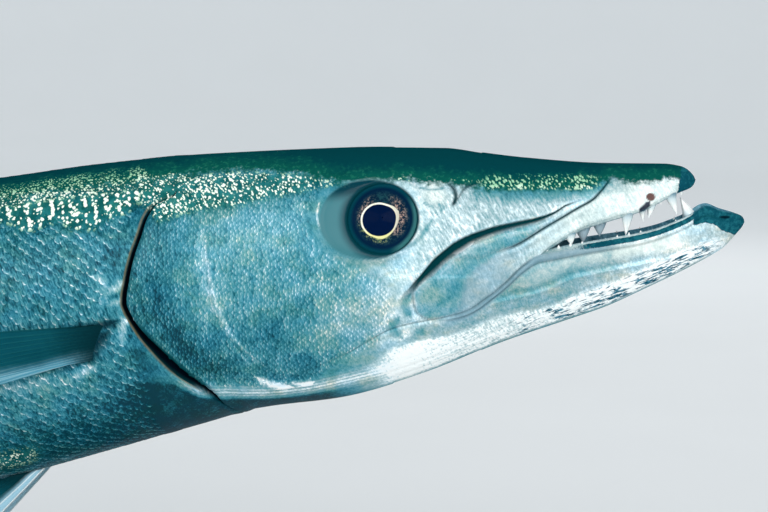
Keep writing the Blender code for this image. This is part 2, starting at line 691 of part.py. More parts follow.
def nostril_cutter(side, distance, height, half_long, half_high):
    """A small oval plug that opens a nostril."""
    turns = np.arange(8) * math.pi / 4
    points = []
    for offset, share in ((0.003, 1.0), (-0.0018, 0.6)):
        points.append(skin_point(distance + half_long * share * np.cos(turns),
                                 height + half_high * share * np.sin(turns), side, offset))
    faces = quads(2, 8, lambda i, j: i * 8 + j, closed_b=True)
    faces += [tuple(range(8)), tuple(range(8, 16))]
    return solid("cut", np.concatenate(points), faces, ("flank", FLANK))


def upper_teeth():
    made = []
    for side in (-1, 1):
        for number, row in enumerate(UPPER_TEETH):
            distance, length, width, lean, inset = (v * MM for v in row)
            made.append(tooth(f"upper_tooth_{number}", side, distance, length, width, lean, inset, "upper"))
    return made


def lower_teeth():
    made = []
    for side in (-1, 1):
        distance, length, width, lean, inset = (v * MM for v in LOWER_FANG)
        made.append(tooth("lower_fang", side, distance, length, width, lean, inset, "lower"))
        for k in range(LOWER_TEETH_COUNT):
            distance = LOWER_TEETH_FROM + (LOWER_TEETH_TO - LOWER_TEETH_FROM) * k / (LOWER_TEETH_COUNT - 1)
            size = 1 + 0.2 * math.sin(5.1 * k)
            made.append(tooth("lower_tooth", side, distance, LOWER_TOOTH_LENGTH * size,
                              LOWER_TOOTH_WIDTH * size, 0.0, LOWER_TOOTH_INSET, "lower"))
    return made


def make_trunk():
    """The torso in three lengths and the tail stalk."""
    flank = ("flank", FLANK)
    rows = ROWS
    angles = np.linspace(0, math.pi, rows)

    def rim(lean, inset=0.0):
        distance, reach, height = leaning_ring(0.26, lean, angles)
        level = upper_level(distance)
        share = 1 - inset / np.hypot(reach, height - level)
        inner = level + (height - level) * share
        return place(lean(inner) if inset else distance, -reach * share, inner)

    rings = [
        rim(lambda h: gill_shoulder(h) - gill_slit(h) + NECK_CLEARANCE, NECK_INSET),
        rim(gill_shoulder, NECK_INSET),
        rim(gill_shoulder),
    ]
    for share in (0.35, 0.7):
        rings.append(rim(lambda h: gill_shoulder(h) + share * (SHOULDER_END - gill_shoulder(h))))
    rings += [half_ring(a, angles) for a in np.linspace(SHOULDER_END, TORSO_CUTS[0] - GAP / 2, 6)]
    loft("torso_front", rings, flank, ruled=(True, False))
    trunk("torso_middle", TORSO_CUTS[0], TORSO_CUTS[1], 9, rows, flank)
    trunk("torso_rear", TORSO_CUTS[1], TORSO_CUTS[2], 8, rows, flank)
    trunk("tail_stalk", TORSO_CUTS[2], STANDARD_LENGTH, 6, rows, flank)


def make_middle_fins():
    """Both dorsal fins, the anal fin and the two lobes of the tail fin."""
    look = ("fin", FIN)
    sideways = np.array([0.0, 1.0, 0.0])
    soft = (0.0044, 0.0016, 0.0008, 0.0006)
    fin("first_dorsal_fin", ridge_root(0.386, 0.462, top_line, FIN_LIFT),
        blade([(0, 419, 82), (0.2, 444, 79), (0.4, 459, 62), (0.6, 468, 42), (0.8, 474, 21), (1, 480, 3)]),
        6, 7, sideways, (0.0040, 0.0024, 0.0011, 0.0007), look, stout=(0,), notch=0.20)
    fin("second_dorsal_fin", ridge_root(0.655, 0.738, top_line, FIN_LIFT),
        blade([(0, 722, 57), (0.18, 736, 44), (0.45, 744, 10), (0.75, 757, -17), (1, 789, -36)]),
        10, 7, sideways, soft, look, bow=-0.004, stout=(0,))
    fin("anal_fin", ridge_root(0.668, 0.748, bottom_line, -FIN_LIFT),
        blade([(0, 738, -233), (0.18, 750, -221), (0.45, 756, -192), (0.75, 769, -172), (1, 799, -161)]),
        10, 7, sideways, soft, look, bow=-0.004, stout=(0,))

    middle = float(upper_level(STANDARD_LENGTH))
    reach, centre = (STANDARD_LENGTH + TAIL_REACH) / MM, middle / MM
    tail = (0.0086, 0.0030, 0.0009, 0.0007)
    lobes = (("tail_fin_upper", top_line, 1, 118), ("tail_fin_lower", bottom_line, -1, 114))
    for name, edge, sign, far in lobes:
        start = float(edge(STANDARD_LENGTH)) - sign * 0.001

        def root(share):
            return place(STANDARD_LENGTH + GAP, 0.0, start + (middle + sign * GAP / 2 - start) * share)

        fin(name, root,
            blade([(0, reach, centre + sign * far), (0.1, reach - 9, centre + sign * (far - 15)),
                   (0.3, reach - 45, centre + sign * 73), (0.5, reach - 72, centre + sign * 47),
                   (0.75, reach - 94, centre + sign * 23), (1, reach - 106, centre + sign * 0.15)]),
            11, 9, sideways, tail, look, bow=-0.006, stout=(0,))


def make_paired_fins():
    """Pectoral and pelvic fins on each side."""
    look = ("fin", FIN)
    for side, word in ((-1, "right"), (1, "left")):
        pectoral_fin(f"pectoral_fin_{word}", side, look)
        pelvic_fin(f"pelvic_fin_{word}", side, look)


PECTORAL_ROOT = ((0.2820, -0.0450), (0.2905, -0.0605))
PECTORAL_TIPS = ((0, 387, -51.5), (0.18, 387, -61), (0.42, 378, -69), (0.7, 358, -71.5), (1, 332, -68.5))


def pectoral_fin(name, side, look):
    """A fin that lies back along the flank and stands off it a little. Its root hugs the skin."""
    rays, rows = 13, 7
    columns = 2 * (rays - 1) + 1
    tip_distance = curve(*[(1000 * p[0], p[1]) for p in PECTORAL_TIPS])
    tip_height = curve(*[(1000 * p[0], p[2]) for p in PECTORAL_TIPS])
    share = np.linspace(0, 1, columns)[:, None] * np.ones(rows)
    out = np.linspace(0, 1, rows)[None, :] * np.ones((columns, 1))
    (front_a, front_h), (rear_a, rear_h) = PECTORAL_ROOT
    root_a, root_h = front_a + (rear_a - front_a) * share, front_h + (rear_h - front_h) * share
    distance = root_a + (tip_distance(share) - root_a) * out
    height = root_h + (tip_height(share) - root_h) * out
    is_ray = (np.arange(columns) % 2 == 0)[:, None]
    base = 0.0044 * np.maximum(0, 1 - out / FIN_FLESH_REACH) ** 2
    full = np.maximum(base, np.where(is_ray, 0.0019 - 0.0011 * out, 0.0006))
    inner = 2 * GAP + 0.0125 * out ** 1.5
    return plate(name, side, (distance, height), inner, inner + full, look)


PELVIC_ROOT = (0.3225, 0.3370)
PELVIC_ACROSS = (0.0110, 0.0150)
PELVIC_TIPS = ((0, 375, -173), (0.3, 382, -166), (0.65, 384, -153), (1, 378, -141))
PELVIC_SPLAY = 0.016


def keel_height(distance, reach):
    """Height of the belly at a distance and half width."""
    level, power = upper_level(distance), lower_power(distance)
    share = np.clip(reach / half_breadth(distance), 0, 0.98)
    return level + (bottom_line(distance) - level) * (1 - share ** power) ** (1 / power)


def pelvic_fin(name, side, look):
    """A fin that hangs back and down from the belly."""
    rays, rows = 6, 6
    tip_distance = curve(*[(1000 * p[0], p[1]) for p in PELVIC_TIPS])
    tip_height = curve(*[(1000 * p[0], p[2]) for p in PELVIC_TIPS])

    def root(share):
        distance = PELVIC_ROOT[0] + (PELVIC_ROOT[1] - PELVIC_ROOT[0]) * share
        reach = PELVIC_ACROSS[0] + (PELVIC_ACROSS[1] - PELVIC_ACROSS[0]) * share
        return place(distance, side * reach, keel_height(distance, reach) - 3.2 * GAP)

    def tip(share):
        return place(tip_distance(share), side * (PELVIC_ACROSS[1] + PELVIC_SPLAY), tip_height(share))

    spread = np.array([0.0, side * 0.94, 0.34])
    return fin(name, root, tip, rays, rows, spread, (0.0034, 0.0020, 0.0009, 0.0007), look, stout=(0,))


def make_stand():
    """A flat base and two upright rods cut to the belly."""
    bpy.ops.mesh.primitive_cube_add(size=1)
    base = bpy.context.object
    base.name = base.data.name = "stand_base"
    base.data.transform(Matrix.Diagonal((BASE_LENGTH, BASE_WIDTH, BASE_THICKNESS, 1)))
    base.location = (TIP_X - BASE_MIDDLE, 0, BASE_THICKNESS / 2)
    shape = bmesh.new()
    shape.from_mesh(base.data)
    upright = [e for e in shape.edges if abs(e.verts[0].co.z - e.verts[1].co.z) > BASE_THICKNESS / 2]
    bmesh.ops.bevel(shape, geom=upright, offset=BASE_CORNER, segments=6, profile=0.5, affect="EDGES")
    high = [e for e in shape.edges if min(v.co.z for v in e.verts) > BASE_THICKNESS / 2 - 1e-6]
    bmesh.ops.bevel(shape, geom=high, offset=BASE_EDGE, segments=2, profile=0.5, affect="EDGES")
    shape.to_mesh(base.data)
    shape.free()
    base.data.materials.append(material("stand", STAND))
    for name, distance in ROD_PLACES:
        stand_rod(name, distance)


def stand_rod(name, distance):
    """A rod with a low foot flange. Its top follows the belly that it holds."""
    sides = 20
    turns = np.arange(sides) * 2 * math.pi / sides
    floor = BASE_THICKNESS + GAP
    levels = ((FLANGE_RADIUS, floor), (FLANGE_RADIUS, floor + FLANGE_HEIGHT),
              (ROD_RADIUS, floor + FLANGE_HEIGHT), (ROD_RADIUS, None))
    points = []
    for radius, height in levels:
        a, y = distance + radius * np.cos(turns), radius * np.sin(turns)
        z = keel_height(a, np.abs(y)) - 2 * GAP if height is None else height - TIP_HEIGHT
        points.append(place(a, y, z))
    centre = place(np.array([distance]), 0.0, keel_height(distance, 0.0) - 2 * GAP)
    points = np.concatenate(points + [centre])
    faces = quads(len(levels), sides, lambda i, j: i * sides + j, closed_b=True)
    faces.append(tuple(range(sides)))
    last = len(levels) * sides
    faces += [(last - sides + j, last - sides + (j + 1) % sides, last) for j in range(sides)]
    return solid(name, points, faces, ("steel", STEEL))


def main():
    for obj in list(bpy.data.objects):
        bpy.data.objects.remove(obj)
    make_head()
    make_trunk()
    make_middle_fins()
    make_paired_fins()
    make_stand()


main()
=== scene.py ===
"""Looks of a great barracuda, life size, as a still museum model held by a plain two-rod stand.

Metres, +Z up. The fish faces +X and its right flank faces -Y. Places along it are distances behind
the tip of the lower jaw, and heights are measured from that tip. The tables give both in
millimetres, and they are the solids' own, so every surface lies where its solid does. Only the
tips of the jaws are two millimetres blunter here.
"""

import math

import bmesh
import bpy
import numpy as np
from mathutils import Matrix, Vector


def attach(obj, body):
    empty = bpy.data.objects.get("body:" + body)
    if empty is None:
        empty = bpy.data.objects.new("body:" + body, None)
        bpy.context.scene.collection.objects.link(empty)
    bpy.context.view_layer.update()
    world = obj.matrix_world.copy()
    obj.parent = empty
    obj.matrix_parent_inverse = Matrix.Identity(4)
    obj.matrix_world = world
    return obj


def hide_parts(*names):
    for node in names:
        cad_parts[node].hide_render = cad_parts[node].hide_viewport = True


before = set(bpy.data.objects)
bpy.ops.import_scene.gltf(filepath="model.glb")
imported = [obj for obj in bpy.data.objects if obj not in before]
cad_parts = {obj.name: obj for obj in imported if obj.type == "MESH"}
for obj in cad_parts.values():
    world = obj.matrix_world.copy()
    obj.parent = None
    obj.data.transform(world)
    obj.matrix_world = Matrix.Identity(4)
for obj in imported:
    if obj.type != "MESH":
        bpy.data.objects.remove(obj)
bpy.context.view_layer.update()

MM = 0.001

# Driving sizes
STANDARD_LENGTH = 0.930          # lower jaw tip to the end of the tail stalk
TAIL_REACH = 0.172               # how far the tail fin's tips trail behind the stalk
TIP_HEIGHT = 0.264               # lower jaw tip above the floor
GAP = 0.0003                     # clearance that the solids keep
TIP_X = (STANDARD_LENGTH + TAIL_REACH) / 2
CORNER = 0.093                   # corner of the mouth
THROAT = 0.106                   # where the roof and the floor of the mouth meet
CHEEK_START = 0.195              # from here the stations lean towards the gill opening
SHOULDER_END = 0.292             # and they stand upright again from here

# Mesh sizes
UPPER_ROWS, LOWER_ROWS = 122, 62  # points down one side, from the back to the lip and on to the keel
MOUTH_ROWS = 18                   # points from a lip to the middle of the mouth
HEAD_STEP, CHEEK_STEP, BODY_STEP = 0.0006, 0.0007, 0.0045
SCALE_DEPTH = 0.0003              # how far the skin lies under the scales' tops
SCALE_LANES = 40                  # scales in each column down one side of the trunk


def curve(*pairs):
    """A smooth curve through (distance, value) pairs given in millimetres. It reads and returns metres."""
    x, y = (np.array(column, float) * MM for column in zip(*pairs))
    slope = np.diff(y) / np.diff(x)
    before, after = slope[:-1], slope[1:]
    same = before * after > 0
    bend = np.where(same, 2 * before * after / np.where(same, before + after, 1), 0)
    rate = np.concatenate([slope[:1], bend, slope[-1:]])

    def value(at):
        at = np.asarray(at, float)
        i = np.clip(np.searchsorted(x, at) - 1, 0, len(x) - 2)
        step = x[i + 1] - x[i]
        t = np.clip((at - x[i]) / step, 0, 1)
        keep, move = (1 + 2 * t) * (1 - t) ** 2, t * t * (3 - 2 * t)
        lead, trail = t * (1 - t) ** 2 * step, t * t * (t - 1) * step
        return y[i] * keep + y[i + 1] * move + rate[i] * lead + rate[i + 1] * trail

    return value


def ease(x, low, high):
    """0 at low, 1 at high and smooth between them."""
    t = np.clip((np.asarray(x, float) - low) / (high - low), 0, 1)
    return t * t * (3 - 2 * t)


def hump(x, half):
    """A smooth bump, 1 at nought and 0 from half outwards."""
    return np.maximum(0, 1 - (np.asarray(x, float) / half) ** 2) ** 2


def profile(x, *pairs):
    """A profile through (place, value) pairs in millimetres, read at x in metres. It returns metres."""
    places, values = zip(*pairs)
    return np.interp(np.asarray(x, float) / MM, places, values) * MM


# Outline from the side
top_line = curve(
    (24.2, 18.4), (25, 20.2), (26.4, 21.8), (28.2, 23.3), (31, 24.5), (38, 25.5), (65, 25.7),
    (101, 28), (119, 29.9), (137, 32.2), (165, 32.4), (202, 31.2), (248, 29.0), (295, 24.6),
    (343, 17.9), (380, 13), (480, -1), (560, -13), (640, -28), (700, -40.5), (760, -54),
    (820, -67.5), (870, -78), (910, -85), (935, -86.5),
)
bottom_line = curve(
    (2.2, -0.8), (3.2, -2.8), (5, -5.0), (7.7, -8.2), (10.6, -11.4), (13.5, -13.6), (24, -19.8), (46, -31),
    (64, -39.5), (82, -46), (110, -56), (146, -71), (183, -82.5), (221, -88), (249, -96),
    (287, -107.5), (343, -123.5), (380, -132), (420, -139.5), (480, -146), (560, -151),
    (640, -152.5), (700, -151.5), (760, -149), (820, -146.5), (870, -145.5), (910, -147), (935, -150),
)
FOLD = ((93, -14.5), (100, -19), (109, -27.8), (115, -33), (126, -40), (135, -42.5), (156, -47),
        (180, -60), (205, -71), (225, -76), (280, -78))
open_lip = curve((24.2, 18.0), (25, 16.4), (27, 15.0), (31, 13.9), (38, 11.2), (47, 6.7), (64, 1.4), (74, -1.9),
                 (82, -6.2), (89, -10.9), *FOLD)
lower_lip = curve((2.2, -0.2), (3.0, 1.2), (4.6, 2.2), (13.4, 4.4), (19, 6.0), (21.4, 5.3), (27, 1.3),
                  (34, -1.9), (42, -4.9), (51, -7.1), (64, -9.3), (78, -11.7), (87, -13.4), *FOLD)
LEVEL = ((119, -20), (137, -24), (165, -26), (202, -30), (250, -36), (285, -42), (343, -53),
         (380, -59.5), (480, -73.5), (640, -90), (820, -107), (935, -118))
upper_level = curve((24.2, 18.2), (31, 14.6), (47, 6.7), (64, 1.4), (82, -6.2), (93, -14.5), *LEVEL)
lower_level = curve((2.2, -0.5), (5, 0.6), (16, 4.6), (27, 1.3), (42, -4.9), (64, -9.3), (93, -14.5), *LEVEL)
half_breadth = curve(
    (0, 7), (10, 8.6), (25, 10.8), (50, 14.2), (75, 17.6), (100, 21.5), (128, 26.5), (165, 32),
    (200, 37), (240, 42.5), (285, 46), (340, 49), (400, 50), (480, 48), (560, 44), (640, 37.5),
    (720, 29), (800, 20.5), (860, 14.5), (900, 9.5), (935, 4.5),
)
upper_power = curve((22, 2100), (80, 2500), (165, 2700), (250, 2400), (400, 2150), (935, 2000))
lower_power = curve((0, 2000), (100, 1900), (165, 2000), (250, 2100), (400, 2200), (935, 2000))

# Gill opening and the cheek's rear ridge, as distances that depend on the height
gill_shoulder = curve(
    (-90, 229), (-83.4, 236.3), (-79.4, 240.8), (-75.7, 244.6), (-69.7, 252.7), (-63.9, 258.8),
    (-56.5, 264.9), (-51, 269.1), (-44.3, 273.3), (-39.4, 275.9), (-35.4, 277.2), (-23, 275.5),
    (-14.2, 273.5), (-5.5, 270.7), (1.9, 268.6), (6.7, 265.9), (9.7, 261.7), (11.5, 257.3), (21, 251),
    (34, 247),
)
gill_slit = curve((-90, 0.6), (-84, 0.9), (-78, 4.6), (-70, 6.0), (-64, 6.0), (-54, 4.6), (-44.5, 2.7),
                  (-14, 2.2), (0, 2.0), (7, 1.9), (11.5, 1.7), (15, 1.0), (24, 0.8), (34, 0.7))
cheek_ridge = curve((-80, 196), (-64.4, 213), (-52.7, 226.4), (-38.4, 234), (-20, 236.7),
                    (-3, 238), (12, 240), (34, 238))

# Lines on the head
groove_top = curve((70, 12.8), (76, 10.0), (82, 7.6), (86.5, 4.9), (94, 2.2), (104, 0.2), (112, -1.5),
                   (122, -4.6), (130, -8.3), (134.5, -11.7), (140, -16.5), (144, -21.4), (149, -27.2),
                   (154, -33))
groove_bottom = curve((70, 12.4), (76, 9.5), (82, 6.9), (86.5, 3.9), (94, 0.4), (104, -2.3), (112, -4.6),
                      (122, -8.6), (126.5, -11.7), (134.4, -17.4), (139, -21.9), (145, -26.8), (149, -31.5),
                      (154, -37))
groove_depth = curve((72, 0), (84, 0.9), (100, 1.7), (120, 2.3), (140, 2.4), (148, 1.7), (155, 0))
premaxilla_line = curve((62, 19.4), (65.9, 14.3), (69.8, 10.1), (76.4, 6.3), (84.3, 1.5), (89, -1.2),
                        (104, -10.3), (112, -13.3), (120, -16.5))
plate_rear = curve((-44, 140), (-42, 144.9), (-39.4, 147.3), (-32, 148.6), (-26, 147.5), (-20, 146))
dentary_line = curve((20, -13), (44, -17.8), (66, -22.2), (80, -25.3), (89, -29.7), (99, -32.8),
                     (108, -34.6), (115, -36.5), (122, -39))
nostril_line = curve((7, 131.6), (9, 130.9), (11.2, 130.2), (14.8, 131), (17, 133), (19, 136))
nostril_branch = curve((119, 17.6), (122.4, 17.3), (126.4, 15.3), (128.4, 12.3), (130.5, 9.5))
gill_band = curve((120, -53), (137, -59.5), (160, -66), (181, -71), (200, -75), (216, -76.5), (243, -75),
                  (256, -68))

# Borders of the markings and of the painted glints
back_edge = curve(
    (20, 17), (26, 17.8), (31, 19.2), (42, 20.1), (49, 18.9), (62, 19.3), (71, 17.2), (84, 15.6),
    (102, 15), (120, 16.6), (133, 17.6), (155, 19.6), (179, 18.6), (198, 22.2), (216, 23.5),
    (229, 24), (242, 23.2), (255, 21.4), (264, 20), (286, 17.2), (308, 14.5), (330, 11.4),
    (400, -2), (480, -14), (560, -26), (640, -40), (760, -64), (870, -86), (935, -92),
)
glint_low = curve((60, 15), (150, 15), (178, 15.5), (188, 15), (204, 11.5), (217, 9), (230, 6), (243, 5),
                  (252, 3), (261, 0), (266, 4), (271, 7), (277, 3), (284, 1), (292, -4), (300, -4), (307, -1),
                  (322, -5), (332, -1), (345, -6), (400, -18), (560, -50))
glint_along = curve((60, 0), (165, 0), (176, 350), (188, 1000),
                    (330, 1000), (420, 650), (600, 0))

# Eye
EYE_DISTANCE, EYE_HEIGHT = 0.1625, 0.0018
EYE_RADIUS, EYE_BULGE = 0.0152, 0.0036
EYE_STANDS_OUT = 0.0012          # how far the eye's flat stands out of the flank
LID_DISTANCE, LID_HEIGHT = 0.1684, 0.0014
LID_LONG, LID_HIGH = 0.0220, 0.0176

# Teeth: distance, length, width, how far the point leans forward, inset from the lip
UPPER_TEETH = (
    (31, 2.2, 2.2, 0.4, 1.8), (35.6, 9.2, 5.4, 3.2, 2.2), (40, 2.6, 2.2, 0.4, 1.8),
    (43.5, 7.0, 3.8, -1.6, 2.2), (48, 6.8, 3.6, 0.6, 4.4), (54.5, 10.6, 5.6, -0.6, 2.4),
    (61, 2.0, 1.8, 0, 1.9), (65.5, 2.0, 1.8, 0, 1.9), (70, 1.9, 1.8, 0, 1.9),
    (80, 5.6, 5.6, 0.8, 2.6), (74.5, 7.6, 7.4, 0.6, 6.2), (67.0, 7.4, 7.0, 0.3, 6.4),
)
LOWER_FANG = (26.2, 8.4, 6.2, -4.6, 3.0)
LOWER_TEETH_FROM, LOWER_TEETH_TO, LOWER_TEETH_COUNT = 0.033, 0.090, 12
LOWER_TOOTH_LENGTH, LOWER_TOOTH_WIDTH, LOWER_TOOTH_INSET = 0.0026, 0.0022, 0.0016
TOOTH_ROOT = 0.0022

# Camera
VIEW_AZIMUTH, VIEW_ELEVATION = math.radians(6), math.radians(5)
VIEW_DISTANCE, VIEW_TARGET = 0.95, (0.3861, 0.0, 0.2466)
LENS, SENSOR = 97.2, 36.0        # millimetres


# The body's surface

def place(distance, across, height):
    """Points in the model's frame. across is towards the fish's left."""
    return np.stack(np.broadcast_arrays(TIP_X - distance, across, TIP_HEIGHT + height), axis=-1)


def upper_lip(distance):
    """Height of the upper lip. Behind the mouth's corner it lies on the lower one."""
    return np.maximum(open_lip(distance), lower_lip(distance))


def snout_round(distance, tip, reach):
    """How a jaw's width grows behind its tip, along a quarter ellipse."""
    t = np.clip((np.asarray(distance) - tip) / reach, 0.02, 1)
    return np.sqrt(1 - (1 - t) ** 2)


def shape_at(distance, part):
    """Level of the widest place and half breadth of the upper or the lower part."""
    if part == "lower":
        return lower_level(distance), half_breadth(distance) * snout_round(distance, 0.0020, 0.014)
    return upper_level(distance), half_breadth(distance) * snout_round(distance, 0.0240, 0.019)


def side_reach(distance, height, part="upper"):
    """Half width of the fish at a height."""
    level, breadth = shape_at(distance, part)
    above = height >= level
    span = np.where(above, top_line(distance) - level, level - bottom_line(distance))
    power = np.where(above, upper_power(distance), lower_power(distance))
    share = np.clip(np.abs(height - level) / span, 0, 0.9999)
    return breadth * (1 - share ** power) ** (1 / power)


def angle_at(distance, height, part="upper"):
    """The turn round a section, from 0 at the back to pi at the keel, that reaches a height."""
    level, _ = shape_at(distance, part)
    above = height >= level
    span = np.where(above, top_line(distance) - level, level - bottom_line(distance))
    power = np.where(above, upper_power(distance), lower_power(distance))
    share = np.clip(np.abs(height - level) / span, 0, 1) ** (power / 2)
    return np.where(above, np.arccos(share), math.pi - np.arccos(share))


def section_point(distance, angle, part="upper"):
    """(half width, height) of a section at a turn from 0 at the back to pi at the keel."""
    level, breadth = shape_at(distance, part)
    above = np.asarray(angle) <= math.pi / 2
    span = np.where(above, top_line(distance) - level, bottom_line(distance) - level)
    power = np.where(above, upper_power(distance), lower_power(distance))
    across = breadth * np.clip(np.sin(angle), 0, 1) ** (2 / power)
    return across, level + span * np.abs(np.cos(angle)) ** (2 / power)


def skin_point(distance, height, side, offset=0.0, part="upper"):
    """A point on the flank at a distance and height, moved out by offset. side is -1 for the right."""
    step = 0.0005
    reach = side_reach(distance, height, part)
    along = (side_reach(distance + step, height, part) - reach) / step
    upward = np.clip((side_reach(distance, height + step, part) - reach) / step, -2.5, 2.5)
    size = np.sqrt(1 + along ** 2 + upward ** 2)
    return place(distance - offset * along / size, side * (reach + offset / size),
                 height - offset * upward / size)


def keel_height(distance, reach):
    """Height of the belly at a distance and half width."""
    level, power = upper_level(distance), lower_power(distance)
    share = np.clip(reach / half_breadth(distance), 0, 0.98)
    return level + (bottom_line(distance) - level) * (1 - share ** power) ** (1 / power)


EYE_SPAN = 0.014                 # how far round the eye its flat is fitted
EYE_MIDDLE = 0.5 * float(side_reach(EYE_DISTANCE, EYE_HEIGHT + EYE_SPAN)
                         + side_reach(EYE_DISTANCE, EYE_HEIGHT - EYE_SPAN))
EYE_RISE = float(side_reach(EYE_DISTANCE, EYE_HEIGHT + EYE_SPAN)
                 - side_reach(EYE_DISTANCE, EYE_HEIGHT - EYE_SPAN)) / (2 * EYE_SPAN)
EYE_RUN = float(side_reach(EYE_DISTANCE + EYE_SPAN, EYE_HEIGHT)
                - side_reach(EYE_DISTANCE - EYE_SPAN, EYE_HEIGHT)) / (2 * EYE_SPAN)


def eye_flat(distance, height):
    """Half width of the flat that the eye and its lids lie on."""
    return EYE_MIDDLE + EYE_STANDS_OUT + EYE_RUN * (distance - EYE_DISTANCE) + EYE_RISE * (height - EYE_HEIGHT)


def eye_plane(distance, height, side, offset):
    """A point of that flat, moved out by offset."""
    size = math.sqrt(1 + EYE_RUN ** 2 + EYE_RISE ** 2)
    return place(distance - offset * EYE_RUN / size,
                 side * (eye_flat(distance, height) + offset / size), height - offset * EYE_RISE / size)


def lid_share(distance, height):
    """0 at the middle of the lids' oval and 1 at its edge."""
    return np.hypot((distance - LID_DISTANCE) / LID_LONG, (height - LID_HEIGHT) / LID_HIGH)


def with_lids(distance, height, across):
    """The half width with the eye's socket and the lids round it."""
    oval = lid_share(distance, height)
    radius = np.hypot(distance - EYE_DISTANCE, height - EYE_HEIGHT)
    socket = profile(radius, (0, -3.0), (13.6, -2.6), (14.6, -1.5), (15.4, -0.45), (16.3, 0.1), (17.4, 0.3),
                     (30, 0.3))
    turn = np.arctan2(height - EYE_HEIGHT, distance - EYE_DISTANCE)
    under = ease(-np.sin(turn), 0.2, 0.8) * hump(radius - 0.0183, 0.0026)
    folds = 0.00014 * np.sin(radius / 0.0011 * 2 * math.pi) * under
    wanted = eye_flat(distance, height) + socket + folds
    weight = ease(oval, 1.16, 0.84) * (height > -0.03)
    edge = 0.00035 * hump(oval - 1.0, 0.10)
    return across + weight * (wanted - across) + edge


# The finer forms of the head

